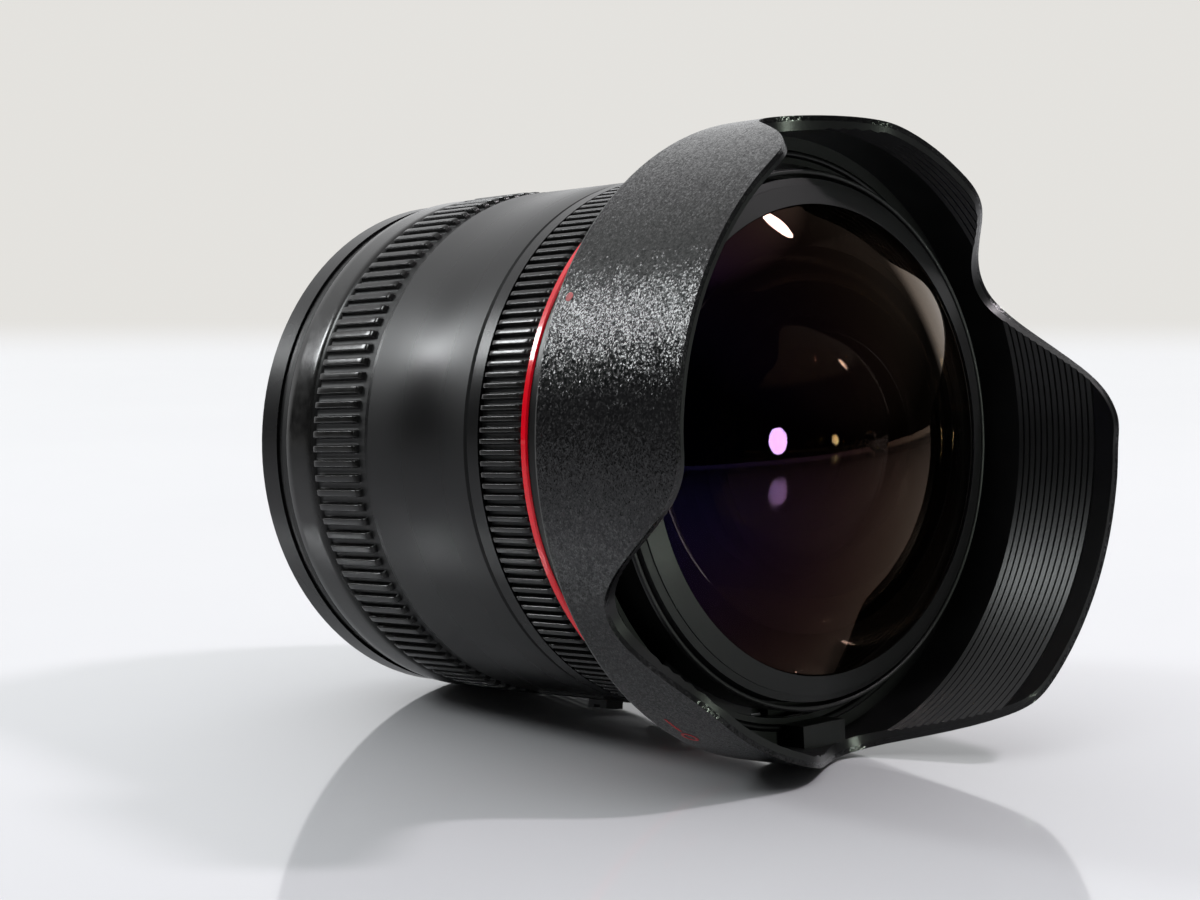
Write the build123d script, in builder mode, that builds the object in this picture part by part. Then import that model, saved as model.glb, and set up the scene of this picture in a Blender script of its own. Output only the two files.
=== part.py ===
from build123d import *
from math import asin, ceil, cos, degrees, pi, radians, sin, sqrt
import os

os.makedirs("parts", exist_ok=True)

# A fisheye zoom lens with its petal hood locked on. Millimetres.
# +X runs along the optical axis from the camera to the subject, with zero at the mount's seat.
# +Z is up as the lens lies on its side; angles turn about +X from +Y towards +Z.

# Directions about the axis
TOP = -29.0
LEFT = TOP - 90
BOTTOM = TOP + 180

# Clearances, on the radius or between faces
RUNNING = 0.08
FACE_GAP = 0.1
GLUE_GAP = 0.03
LENS_FIT = 0.02
SEAT_PLAY = 0.06

# Bevels, and how far a cutter runs past what it cuts
EDGE_BEVEL = 0.4
FINE_BEVEL = 0.2
CUT_PAST = 1.0

# Places along the axis, each from the one behind it
ZOOM_RING_X = 8.1
MIDDLE_X = ZOOM_RING_X + 22.6
FOCUS_X = MIDDLE_X + 22.9
FOCUS_END_X = FOCUS_X + 11.7
RED_RING_X = FOCUS_END_X + 2 * FACE_GAP
COLLAR_END_X = RED_RING_X + 5.5
HOOD_REAR_X = COLLAR_END_X + 0.4
BAYONET_X = COLLAR_END_X + 5.0
LIP_X = COLLAR_END_X + 12.0

# Walls of the tubes, from the inside out
GUIDE_WALL = 1.2
CAM_WALL = 1.2
DRIVE_WALL = 1.1
NECK_WALL = 1.0
SLEEVE_WALL = 1.2
ZOOM_WALL = 1.32
FOCUS_WALL = 1.22
MIDDLE_WALL = 1.2
GROUP_WALL = 1.2

# Radii of the tubes, each from the one inside it
GUIDE_RADIUS = 32.0
GUIDE_BORE = GUIDE_RADIUS - GUIDE_WALL
GROUP_RADIUS = GUIDE_BORE - FACE_GAP
CAM_BORE = GUIDE_RADIUS + RUNNING
CAM_RADIUS = CAM_BORE + CAM_WALL
DRIVE_BORE = CAM_RADIUS + 0.72
DRIVE_RADIUS = DRIVE_BORE + DRIVE_WALL
NECK_BORE = DRIVE_RADIUS + FACE_GAP
NECK_RADIUS = NECK_BORE + NECK_WALL
SLEEVE_BORE = CAM_RADIUS + 1.52
SLEEVE_RADIUS = SLEEVE_BORE + SLEEVE_WALL
ZOOM_BORE = SLEEVE_RADIUS + RUNNING
FOCUS_BORE = NECK_RADIUS + RUNNING
SCALE_RADIUS = DRIVE_RADIUS + 1.6
MIDDLE_BORE = SCALE_RADIUS + 1.0
MIDDLE_RADIUS = MIDDLE_BORE + MIDDLE_WALL
NOSE_RADIUS = MIDDLE_RADIUS - 0.8
NOSE_BORE = NECK_RADIUS - 0.3
BAYONET_RADIUS = NOSE_RADIUS + 1.15
HOOD_BORE = BAYONET_RADIUS + RUNNING
HOOD_RADIUS = HOOD_BORE + 6.07

# Bayonet mount
FLANGE_RADIUS = 32.5
FLANGE_THICK = 2.4
SEAT_INNER_RADIUS = 27.2
SEAT_RELIEF = 0.4
SPIGOT_RADIUS = 25.3
SPIGOT_BORE = 23.5
SPIGOT_LENGTH = 6.5
LUG_RADIUS = 26.9
LUG_ROOT = 0.3
LUG_GAP = 2.0
LUG_THICK = 1.4
LUG_ARC = 52.0
FIRST_LUG = TOP + 30
SCREW_CIRCLE = 29.8
SCREWS = 4
FIRST_SCREW = TOP + 45
SCREW_HOLE_RADIUS = 1.05
SCREW_HEAD_RADIUS = 1.9
HEAD_SINK = 0.05
CROSS_WIDTH = 0.45
CROSS_LENGTH = 1.9
CROSS_DEPTH = 0.5
LOCK_PIN_RADIUS = 1.1
LOCK_PIN_ANGLE = LEFT - 12
SEAL_WALL = 1.3
SEAL_SINK = 0.05

# Rear barrel
REAR_RIM_X = 4.1
REAR_RIM_RADIUS = MIDDLE_RADIUS - 0.2
REAR_SHOULDER_RADIUS = REAR_RIM_RADIUS - 3.7
BULKHEAD_THICK = 2.0
BULKHEAD_BORE = 23.8
SLEEVE_SEAT = 2.2

# Contacts, baffle, filter holder and board behind the rear glass
BAFFLE_THICK = 1.0
BAFFLE_X = -4.2
BAFFLE_WIDTH = 30.0
BAFFLE_HEIGHT = 22.0
HOLDER_THICK = 0.9
HOLDER_RIM = 1.5
HOLDER_SLOT = 0.4
CONTACT_INNER_RADIUS = 19.8
CONTACT_ARC = 96.0
CONTACT_RADIUS = 0.8
CONTACT_COUNT = 8
CONTACT_STEP = 10.5
CONTACT_PROUD = 0.3
CONTACT_LENGTH = 0.5
BOARD_INNER_RADIUS = 24.4
BOARD_OUTER_RADIUS = GUIDE_BORE - 0.4
BOARD_THICK = 0.8
BOARD_ARC = 250.0
CHIPS = 5
CHIP_STEP = 44.0
CHIP_SIZE = 3.6
CHIP_HEIGHT = 1.1

# Ribbed grips
GRIP_BEVEL = 0.8
RIB_HEIGHT = 0.9
RIB_SUNK = 0.4
RIB_FLANK = 79.0
GRIP_SEAT_RADIUS = ZOOM_BORE + ZOOM_WALL
GRIP_ROOT_RADIUS = GRIP_SEAT_RADIUS + 0.95
GRIP_BAND_RADIUS = GRIP_ROOT_RADIUS + 0.75
GRIP_RADIUS = GRIP_ROOT_RADIUS + RIB_HEIGHT
RING_LIP = 0.9
ZOOM_BAND_X = ZOOM_RING_X + 2.3
ZOOM_RIBS_X = ZOOM_RING_X + 9.6
ZOOM_RIBS_LENGTH = 10.6
ZOOM_RIBS = 112
ZOOM_RIB_WIDTH = 1.5
ZOOM_TURN = 60.0
FOCUS_RIM_LENGTH = 2.7
FOCUS_RIM_RADIUS = MIDDLE_RADIUS + 0.1
FOCUS_GRIP_SEAT_RADIUS = FOCUS_BORE + FOCUS_WALL
FOCUS_GRIP_ROOT_RADIUS = FOCUS_GRIP_SEAT_RADIUS + 0.7
FOCUS_GRIP_RADIUS = FOCUS_GRIP_ROOT_RADIUS + RIB_HEIGHT
FOCUS_RIBS = 158
FOCUS_RIB_WIDTH = 0.98
FOCUS_RIB_STOP = 0.9
FOCUS_TURN = 100.0

# Key between the zoom ring and the cam barrel
KEY_LENGTH = 3.4
KEY_WIDTH = 3.0
KEY_PLAY = 0.3
KEY_X = MIDDLE_X - 1.3 - KEY_LENGTH

# Middle barrel, window and switches
MIDDLE_WEB = 1.8
NECK_END_X = RED_RING_X + 2.5
WINDOW_X = MIDDLE_X + 4.1
WINDOW_LENGTH = 8.4
WINDOW_ARC = 34.0
WINDOW_THICK = 1.1
SWITCH_ANGLE = TOP - 62
PANEL_X = MIDDLE_X + 4.3
PANEL_LENGTH = 15.0
PANEL_ARC = 36.0
PANEL_SUNK = 0.4
PANEL_PROUD = 0.3
SWITCH_SLOT_X = PANEL_X + PANEL_LENGTH / 2
SWITCH_SLOT_LENGTH = 6.8
SWITCH_SLOT_WIDTH = 3.6
SWITCH_TRAVEL = 2.6
SWITCH_SPREAD = 9.0
KNOB_PLAY = 0.1
KNOB_HEIGHT = 2.6
KNOB_NOTCH = 0.5

# Distance scale and the ring motor that drives the front group
DRIVE_SHARE = 0.5
DRIVE_X = MIDDLE_X + 2.9
DRIVE_END_X = FOCUS_END_X - FACE_GAP
SCALE_WALL = 0.6
SCALE_LENGTH = 10.2
SCALE_ROOM = 0.3
STATOR_X = MIDDLE_X + 14.3
STATOR_LENGTH = 3.4
STATOR_SEAT = 0.8
STATOR_TEETH = 48
TOOTH_GAP = 0.7
TOOTH_DEPTH = 1.2
ROTOR_LENGTH = 2.4
ROTOR_GAP = 0.05
FOCUS_TRAVEL = 2.5

# Cam system: each path is the roller's x, the first roller's angle and the travel
GUIDE_END_X = FOCUS_END_X - 1.3
GUIDE_FOOT_THICK = 1.2
CAM_X = ZOOM_RING_X + 0.9
CAM_END_X = STATOR_X + 4.5
ROLLER_RADIUS = 1.4
ROLLER_PLAY = 0.12
SLOT_WIDTH = 2 * (ROLLER_RADIUS + ROLLER_PLAY)
SLOT_STEP = 10.0
REAR_PATH = (20.0, TOP + 20, 4.0)
SECOND_PATH = (42.0, TOP + 60, 3.0)
FRONT_PATH = (FOCUS_X + 4.4, TOP + 100, FOCUS_TRAVEL)

# Red ring, collar, lens lugs and lip
RED_RING_LENGTH = 1.3
RED_RING_SEAT = NECK_RADIUS + 1.2
RED_RING_RADIUS = MIDDLE_RADIUS + 0.3
LIP_WALL = 0.8
LIP_DEPTH = 3.4
BAYONET_THICK = 1.6
BAYONET_ARC = 28.0
PAWL_GROOVE_X = COLLAR_END_X + 0.8
PAWL_GROOVE_LENGTH = 1.9
PAWL_GROOVE_DEPTH = 1.0

# Petal hood
HOOD_REAR_RADIUS = HOOD_BORE + 0.97
HOOD_SHOULDER_X = HOOD_REAR_X + 4.3
HOOD_CUP_X = BAYONET_X + 2.2
HOOD_CUP_RADIUS = HOOD_RADIUS - 2.3
HOOD_EDGE_WALL = 1.3
HOOD_LUG_ARC = 26.0
HOOD_LUG_THICK = 1.7
LONG_TIP_X = HOOD_REAR_X + 30.7
VALLEY_X = HOOD_REAR_X + 11.0
SHORT_TIP_X = HOOD_REAR_X + 19.1
LONG_HALF_ARC = 28.0
VALLEY_ARC = 56.0
SHORT_START_ARC = 79.0
EDGE_STEP = 5
HOOD_RIBS_X = HOOD_REAR_X + 14.0
HOOD_RIB_PITCH = 1.05
HOOD_RIBS = 13
HOOD_RIB_DEPTH = 0.3

# Hood release button, its pawl and its leaf spring
BUTTON_ANGLE = LEFT + 28
BUTTON_X = BAYONET_X + 0.6
BUTTON_LENGTH = 4.8
BUTTON_WIDTH = 6.2
BUTTON_THICK = 2.3
BUTTON_RECESS = 0.5
BUTTON_PLAY = 0.15
BUTTON_SOFT = 0.5
BUTTON_TOP = HOOD_RADIUS - BUTTON_RECESS
BUTTON_FOOT = BUTTON_TOP - BUTTON_THICK
PAWL_X = PAWL_GROOVE_X + 0.3
PAWL_LENGTH = 1.4
PAWL_WIDTH = 3.8
PAWL_SHORT = 0.2
PAWL_COVER = 0.9
PAWL_ROOF = BUTTON_FOOT + 0.5
PAWL_ARM = 0.9
SPRING_FLOOR = BUTTON_FOOT - 1.6
SPRING_REACH = 2.1
SPRING_RISE = 0.45
SPRING_THICK = 0.25
SPRING_WIDTH = 4.0
BOSS_WALL = 1.2
BOSS_RADIUS = SPRING_FLOOR - 1.0

# Glass elements: front x, front curve, back x, back curve, rim radius, back rim radius
FRONT_CELL_RADIUS = NOSE_BORE - 0.4
FRONT_GLASS = (95.2, 58.0, 92.2, 27.0, FRONT_CELL_RADIUS - 0.9, 24.3)
SECOND_GLASS = (87.0, 34.0, 85.2, 18.5, 19.5, 16.0)
THIRD_GLASS = (71.0, -60.0, 69.3, 28.0, 15.0, 15.0)
FOURTH_GLASS = (69.3, 28.0, 60.9, -70.0, 15.0, 15.0)
FIFTH_GLASS = (44.5, -35.0, 42.8, 24.0, 12.0, 12.0)
SIXTH_GLASS = (42.8, 24.0, 38.4, -200.0, 12.0, 12.0)
SEVENTH_GLASS = (25.0, 30.0, 19.5, -60.0, 12.0, 12.0)
EIGHTH_GLASS = (18.6, 200.0, 14.4, -32.0, 12.0, 12.0)
NINTH_GLASS = (14.4, -32.0, 12.6, 90.0, 12.0, 12.0)

# Front group
CELL_WALL = 1.6
CELL_LIP = 1.4
CELL_LIP_THICK = 1.2
FRONT_SKIRT_X = FOCUS_X - 0.6
FRONT_WEB_X = COLLAR_END_X + 1.0
FRONT_CELL_X = NECK_END_X + 0.4
FRONT_SEAT_X = 77.0
SECOND_SEAT_X = 76.0
SECOND_CELL_END_X = 79.9
DOUBLET_X = 62.0
DOUBLET_CELL_END_X = 74.6
RETAINER_THICK = 1.1
RETAINER_WIDTH = 1.4

# Grey bezel round the front glass
BEZEL_X = 80.0
BEZEL_RADIUS = NOSE_RADIUS - LIP_WALL - 0.4
BEZEL_STEP_RADIUS = BEZEL_RADIUS - 1.2
BEZEL_STEP_BACK = 1.0
BEZEL_LIFT = 0.25
GLASS_RIM_RADIUS = FRONT_GLASS[4] - 1.6

# Second group
SECOND_GROUP_X = 36.0
SECOND_GROUP_END_X = 48.0
SECOND_WEB_X = 41.0
SECOND_WEB_THICK = 2.0
SECOND_CELL_X = 37.0
SECOND_CELL_LENGTH = 10.0
SECOND_LIP_X = 38.5

# Rear group
REAR_GROUP_X = 10.0
REAR_GROUP_END_X = 31.4
REAR_WEB_X = 14.0
REAR_WEB_THICK = 2.0
REAR_CELL_X = 10.5
REAR_CELL_END_X = 25.5
REAR_LIP_X = 18.6
REAR_LIP_THICK = 1.8
CELL_RADIUS = 12.0

# Iris and its motor
IRIS_X = 26.0
IRIS_PLATE = 0.9
IRIS_OPENING = 13.3
IRIS_RADIUS = GROUP_RADIUS - 1.7
IRIS_LEDGE = 1.0
MOTOR_RADIUS = 3.5
MOTOR_CIRCLE = IRIS_RADIUS - 5.0
MOTOR_END_X = IRIS_X - 0.3
BLADES = 7
BLADE_LEVER = 5.0
BLADE_PIVOT = IRIS_RADIUS - 2.5 - BLADE_LEVER
BLADE_INNER = IRIS_OPENING - 0.3
BLADE_OUTER = BLADE_PIVOT - 1.5
BLADE_TAIL = 12.0
BLADE_ARC = 112.0
BLADE_X = IRIS_X + 1.1
BLADE_THICK = 0.12
BLADE_STEP = 0.2
BLADE_EYE = 1.3
PIVOT_PIN_RADIUS = 0.6
DRIVE_PIN_RADIUS = 0.5
PIN_PLAY = 0.05
DRIVE_RING_X = IRIS_X + 2.7
DRIVE_RING_THICK = 0.8
DRIVE_SLOT_LENGTH = 0.7
IRIS_COVER_X = IRIS_X + 3.7


def outward(angle):
    """The direction away from the axis at an angle about it."""
    return Vector(0, cos(radians(angle)), sin(radians(angle)))


def facing(angle, x, radius=0.0):
    """A plane that looks away from the axis; its own X runs to the front of the lens."""
    return Plane(origin=Vector(x, 0, 0) + outward(angle) * radius, x_dir=(1, 0, 0), z_dir=outward(angle))


def facing_rear(x):
    """A plane across the axis that looks to the camera, with its own X along the width of the picture."""
    return Plane(origin=(x, 0, 0), x_dir=outward(LEFT), z_dir=(-1, 0, 0))


def lengthwise(angle):
    """A plane through the axis at an angle; its own X runs to the front and its own Y outwards."""
    return Plane(origin=(0, 0, 0), x_dir=(1, 0, 0), z_dir=Vector(1, 0, 0).cross(outward(angle)))


def outline(*points):
    """A closed (x, radius) profile, ready to be revolved about the optical axis."""
    with BuildSketch(Plane.XY) as profile:
        with BuildLine():
            Polyline(*points, close=True)
        make_face()
    return profile.sketch


def tube_outline(x, length, inner, outer):
    """The profile of a plain tube or washer."""
    return outline((x, inner), (x, outer), (x + length, outer), (x + length, inner))


def sector(x, inner, outer, middle, arc):
    """A piece of a ring, drawn across the axis at x."""
    start = middle - arc / 2
    with BuildSketch(Plane.YZ.offset(x)) as piece:
        with BuildLine():
            near = CenterArc((0, 0), inner, start, arc)
            far = CenterArc((0, 0), outer, start, arc)
            Line(near @ 0, far @ 0)
            Line(near @ 1, far @ 1)
        make_face()
    return piece.sketch


def ribbed_ring(x, bore, root, tip, count, width):
    """A ring with ribs along the axis, drawn across the axis at x."""
    with BuildSketch(Plane.YZ.offset(x)) as ring:
        Circle(root)
        with PolarLocations((root + tip - RIB_SUNK) / 2, count):
            Trapezoid(width, tip - root + RIB_SUNK, RIB_FLANK, rotation=-90)
        Circle(bore, mode=Mode.SUBTRACT)
    return ring.sketch


def sag(curve, height):
    """How far a spherical surface falls back from its middle, at a height above the axis."""
    depth = abs(curve) - sqrt(curve**2 - height**2)
    return depth if curve > 0 else -depth


def element(front_x, front_curve, back_x, back_curve, rim, back_rim=None):
    """A lens element; a curve is positive where its centre lies towards the camera."""
    back_rim = back_rim or rim
    front_edge_x = front_x - sag(front_curve, rim)
    back_edge_x = back_x - sag(back_curve, back_rim)
    front_middle = (front_x - sag(front_curve, rim / 2), rim / 2)
    back_middle = (back_x - sag(back_curve, back_rim / 2), back_rim / 2)
    with BuildPart() as glass:
        with BuildSketch(Plane.XY):
            with BuildLine():
                ThreePointArc((front_x, 0), front_middle, (front_edge_x, rim))
                Line((front_edge_x, rim), (back_edge_x, rim))
                if rim > back_rim:
                    Line((back_edge_x, rim), (back_edge_x, back_rim))
                ThreePointArc((back_edge_x, back_rim), back_middle, (back_x, 0))
                Line((back_x, 0), (front_x, 0))
            make_face()
        revolve(axis=Axis.X)
    return glass


def helical_slot(radius, wall, angle, x, turn, travel):
    """Cutters along a cam slot that runs back in angle as it climbs: short straight steps end to end."""
    steps = ceil(turn / SLOT_STEP)
    run = radius * radians(turn) / steps
    rise = travel / steps
    lean = degrees(asin(rise / sqrt(run**2 + rise**2)))
    with BuildPart() as cutter:
        for step in range(steps):
            share = (step + 0.5) / steps
            with BuildSketch(facing(angle - turn * share, x + travel * share, radius)):
                SlotCenterToCenter(sqrt(run**2 + rise**2), SLOT_WIDTH, rotation=90 - lean)
            extrude(amount=2 * wall, both=True)
    return cutter.part


def cam_rollers(path, inner, outer):
    """Three cam rollers a third of a turn apart."""
    roller_x, start, travel = path
    with BuildPart() as group:
        for third in range(3):
            with BuildSketch(facing(start + 120 * third, roller_x, inner)):
                Circle(ROLLER_RADIUS)
            extrude(amount=outer - inner)
    return group


def save(piece, name):
    """Label a finished piece and write it out."""
    piece.part.label = name
    export_step(piece.part, f"parts/{name}.step")


# Bayonet mount flange
SPIGOT_END_X = -SPIGOT_LENGTH
with BuildPart() as mount_flange:
    revolve(
        outline(
            (SPIGOT_END_X, SPIGOT_BORE), (SPIGOT_END_X, SPIGOT_RADIUS), (SEAT_RELIEF, SPIGOT_RADIUS),
            (SEAT_RELIEF, SEAT_INNER_RADIUS), (0, SEAT_INNER_RADIUS), (0, FLANGE_RADIUS),
            (FLANGE_THICK, FLANGE_RADIUS), (FLANGE_THICK, SPIGOT_BORE),
        ),
        axis=Axis.X,
    )
    for lug_angle in (FIRST_LUG, FIRST_LUG + 120, FIRST_LUG + 240):
        lug = sector(-LUG_GAP - LUG_THICK, SPIGOT_RADIUS - LUG_ROOT, LUG_RADIUS, lug_angle, LUG_ARC)
        extrude(lug, amount=LUG_THICK)
    with BuildSketch(Plane.YZ):
        with PolarLocations(SCREW_CIRCLE, SCREWS, start_angle=FIRST_SCREW):
            Circle(SCREW_HOLE_RADIUS)
        with PolarLocations(SCREW_CIRCLE, 1, start_angle=LOCK_PIN_ANGLE):
            Circle(LOCK_PIN_RADIUS)
    extrude(amount=FLANGE_THICK, mode=Mode.SUBTRACT)
    with BuildSketch(Plane.YZ):
        with PolarLocations(SCREW_CIRCLE, SCREWS, start_angle=FIRST_SCREW):
            Circle(SCREW_HEAD_RADIUS)
    extrude(amount=SCREW_HEAD_RADIUS - SCREW_HOLE_RADIUS, taper=45, mode=Mode.SUBTRACT)
save(mount_flange, "mount_flange")

# Countersunk mount screws, with a cross recess
with BuildPart() as mount_screws:
    with BuildSketch(Plane.YZ.offset(HEAD_SINK)):
        with PolarLocations(SCREW_CIRCLE, SCREWS, start_angle=FIRST_SCREW):
            Circle(SCREW_HEAD_RADIUS - HEAD_SINK)
    extrude(amount=SCREW_HEAD_RADIUS - SCREW_HOLE_RADIUS, taper=45)
    with BuildSketch(Plane.YZ.offset(HEAD_SINK)):
        with PolarLocations(SCREW_CIRCLE, SCREWS, start_angle=FIRST_SCREW):
            Circle(SCREW_HOLE_RADIUS - HEAD_SINK)
    extrude(amount=FLANGE_THICK + BULKHEAD_THICK - FACE_GAP - HEAD_SINK)
    with BuildSketch(Plane.YZ.offset(HEAD_SINK)):
        with PolarLocations(SCREW_CIRCLE, SCREWS, start_angle=FIRST_SCREW):
            Rectangle(CROSS_WIDTH, CROSS_LENGTH)
            Rectangle(CROSS_LENGTH, CROSS_WIDTH)
    extrude(amount=CROSS_DEPTH, mode=Mode.SUBTRACT)
save(mount_screws, "mount_screws")

# Rubber seal round the flange
with BuildPart() as mount_seal:
    revolve(
        outline(
            (SEAL_SINK, FLANGE_RADIUS), (SEAL_SINK, FLANGE_RADIUS + SEAL_WALL / 2),
            (FLANGE_THICK / 2, FLANGE_RADIUS + SEAL_WALL), (FLANGE_THICK, FLANGE_RADIUS + SEAL_WALL),
            (FLANGE_THICK, FLANGE_RADIUS),
        ),
        axis=Axis.X,
    )
save(mount_seal, "mount_seal")

# Rear barrel: rim, bulkhead and the sleeve that the zoom ring turns on
BULKHEAD_X = FLANGE_THICK
BULKHEAD_END_X = BULKHEAD_X + BULKHEAD_THICK
SLEEVE_END_X = MIDDLE_X + SLEEVE_SEAT
with BuildPart() as rear_barrel:
    revolve(
        outline(
            (BULKHEAD_X, BULKHEAD_BORE), (BULKHEAD_X, REAR_SHOULDER_RADIUS),
            (REAR_RIM_X, REAR_RIM_RADIUS),
            (ZOOM_RING_X - FACE_GAP, REAR_RIM_RADIUS), (ZOOM_RING_X - FACE_GAP, SLEEVE_RADIUS),
            (SLEEVE_END_X, SLEEVE_RADIUS), (SLEEVE_END_X, SLEEVE_BORE), (BULKHEAD_END_X, SLEEVE_BORE),
            (BULKHEAD_END_X, BULKHEAD_BORE),
        ),
        axis=Axis.X,
    )
    with BuildSketch(Plane.YZ.offset(BULKHEAD_X)):
        with PolarLocations(SCREW_CIRCLE, SCREWS, start_angle=FIRST_SCREW):
            Circle(SCREW_HOLE_RADIUS)
    extrude(amount=BULKHEAD_THICK, mode=Mode.SUBTRACT)
    key_arc = ZOOM_TURN + degrees((KEY_WIDTH + 2 * KEY_PLAY) / SLEEVE_BORE)
    key_window = sector(
        KEY_X - KEY_PLAY, SLEEVE_BORE - CUT_PAST, SLEEVE_RADIUS + CUT_PAST, TOP + ZOOM_TURN / 2, key_arc
    )
    extrude(key_window, amount=KEY_LENGTH + 2 * KEY_PLAY, mode=Mode.SUBTRACT)
save(rear_barrel, "rear_barrel")

# Guide tube: a fixed tube with straight slots, screwed down by its foot
with BuildPart() as guide_tube:
    revolve(
        outline(
            (BULKHEAD_END_X, GUIDE_BORE), (BULKHEAD_END_X, SLEEVE_BORE - FACE_GAP),
            (BULKHEAD_END_X + GUIDE_FOOT_THICK, SLEEVE_BORE - FACE_GAP),
            (BULKHEAD_END_X + GUIDE_FOOT_THICK, GUIDE_RADIUS), (GUIDE_END_X, GUIDE_RADIUS),
            (GUIDE_END_X, GUIDE_BORE),
        ),
        axis=Axis.X,
    )
    for roller_x, start, travel in (REAR_PATH, SECOND_PATH, FRONT_PATH):
        for third in range(3):
            middle_x = roller_x + travel / 2
            with BuildSketch(facing(start + 120 * third, middle_x, GUIDE_BORE - CUT_PAST)):
                SlotCenterToCenter(travel, SLOT_WIDTH)
            extrude(amount=GUIDE_WALL + 2 * CUT_PAST, mode=Mode.SUBTRACT)
save(guide_tube, "guide_tube")

# Cam barrel: turns with the zoom ring and drives both inner groups
with BuildPart() as cam_barrel:
    revolve(tube_outline(CAM_X, CAM_END_X - CAM_X, CAM_BORE, CAM_RADIUS), axis=Axis.X)
    for third in range(3):
        for roller_x, start, travel in (REAR_PATH, SECOND_PATH):
            add(
                helical_slot(CAM_RADIUS, CAM_WALL, start + 120 * third, roller_x, ZOOM_TURN, travel),
                mode=Mode.SUBTRACT,
            )
    with BuildSketch(facing(TOP, KEY_X + KEY_LENGTH / 2, CAM_BORE - CUT_PAST)):
        Rectangle(KEY_LENGTH, KEY_WIDTH)
    extrude(amount=CAM_WALL + 2 * CUT_PAST, mode=Mode.SUBTRACT)
save(cam_barrel, "cam_barrel")

# Zoom ring, its key and its rubber grip
ZOOM_END_X = MIDDLE_X - FACE_GAP
with BuildPart() as zoom_ring:
    revolve(
        outline(
            (ZOOM_RING_X, ZOOM_BORE), (ZOOM_RING_X, GRIP_ROOT_RADIUS),
            (ZOOM_RING_X + RING_LIP, GRIP_ROOT_RADIUS),
            (ZOOM_RING_X + RING_LIP, GRIP_SEAT_RADIUS), (ZOOM_END_X - RING_LIP, GRIP_SEAT_RADIUS),
            (ZOOM_END_X - RING_LIP, GRIP_ROOT_RADIUS), (ZOOM_END_X, GRIP_ROOT_RADIUS),
            (ZOOM_END_X, ZOOM_BORE),
        ),
        axis=Axis.X,
    )
    with BuildSketch(facing(TOP, KEY_X + KEY_LENGTH / 2, ZOOM_BORE - CUT_PAST)):
        Rectangle(KEY_LENGTH, KEY_WIDTH)
    extrude(amount=GRIP_SEAT_RADIUS - ZOOM_BORE + 2 * CUT_PAST, mode=Mode.SUBTRACT)
save(zoom_ring, "zoom_ring")

with BuildPart() as zoom_key:
    with BuildSketch(facing(TOP, KEY_X + KEY_LENGTH / 2, CAM_BORE + FACE_GAP)):
        Rectangle(KEY_LENGTH, KEY_WIDTH)
    extrude(amount=GRIP_SEAT_RADIUS - FACE_GAP - CAM_BORE - FACE_GAP)
save(zoom_key, "zoom_key")

with BuildPart() as zoom_grip:
    revolve(
        outline(
            (ZOOM_RING_X + RING_LIP, GRIP_SEAT_RADIUS), (ZOOM_RING_X + RING_LIP, GRIP_ROOT_RADIUS),
            (ZOOM_BAND_X, GRIP_ROOT_RADIUS), (ZOOM_BAND_X + GRIP_BEVEL, GRIP_BAND_RADIUS),
            (ZOOM_RIBS_X - GRIP_BEVEL, GRIP_BAND_RADIUS), (ZOOM_RIBS_X, GRIP_ROOT_RADIUS),
            (ZOOM_END_X - RING_LIP, GRIP_ROOT_RADIUS), (ZOOM_END_X - RING_LIP, GRIP_SEAT_RADIUS),
        ),
        axis=Axis.X,
    )
    rib_ring = ribbed_ring(
        ZOOM_RIBS_X, GRIP_SEAT_RADIUS, GRIP_ROOT_RADIUS, GRIP_RADIUS, ZOOM_RIBS, ZOOM_RIB_WIDTH
    )
    extrude(rib_ring, amount=ZOOM_RIBS_LENGTH)
save(zoom_grip, "zoom_grip")

# Middle barrel: shell, webs and the neck that the focus ring turns on
MIDDLE_END_X = FOCUS_X - FACE_GAP
with BuildPart() as middle_barrel:
    revolve(
        outline(
            (MIDDLE_X, SLEEVE_RADIUS), (MIDDLE_X, MIDDLE_RADIUS - EDGE_BEVEL),
            (MIDDLE_X + EDGE_BEVEL, MIDDLE_RADIUS),
            (MIDDLE_END_X - EDGE_BEVEL, MIDDLE_RADIUS), (MIDDLE_END_X, MIDDLE_RADIUS - EDGE_BEVEL),
            (MIDDLE_END_X, NECK_RADIUS), (NECK_END_X, NECK_RADIUS), (NECK_END_X, NECK_BORE),
            (MIDDLE_END_X - MIDDLE_WEB, NECK_BORE), (MIDDLE_END_X - MIDDLE_WEB, MIDDLE_BORE),
            (STATOR_X, MIDDLE_BORE), (STATOR_X, SCALE_RADIUS + SCALE_ROOM),
            (STATOR_X - STATOR_SEAT, SCALE_RADIUS + SCALE_ROOM),
            (STATOR_X - STATOR_SEAT, MIDDLE_BORE), (MIDDLE_X + MIDDLE_WEB, MIDDLE_BORE),
            (MIDDLE_X + MIDDLE_WEB, SLEEVE_RADIUS),
        ),
        axis=Axis.X,
    )
    window = sector(WINDOW_X, MIDDLE_BORE - CUT_PAST, MIDDLE_RADIUS + CUT_PAST, TOP, WINDOW_ARC)
    extrude(window, amount=WINDOW_LENGTH, mode=Mode.SUBTRACT)
    panel_seat = sector(
        PANEL_X, MIDDLE_RADIUS - PANEL_SUNK, MIDDLE_RADIUS + CUT_PAST, SWITCH_ANGLE, PANEL_ARC
    )
    extrude(panel_seat, amount=PANEL_LENGTH, mode=Mode.SUBTRACT)
    for switch_angle in (SWITCH_ANGLE + SWITCH_SPREAD, SWITCH_ANGLE - SWITCH_SPREAD):
        with BuildSketch(facing(switch_angle, SWITCH_SLOT_X, MIDDLE_BORE - CUT_PAST)):
            Rectangle(SWITCH_SLOT_LENGTH, SWITCH_SLOT_WIDTH)
        extrude(amount=MIDDLE_WALL + 2 * CUT_PAST, mode=Mode.SUBTRACT)
save(middle_barrel, "middle_barrel")

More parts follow.
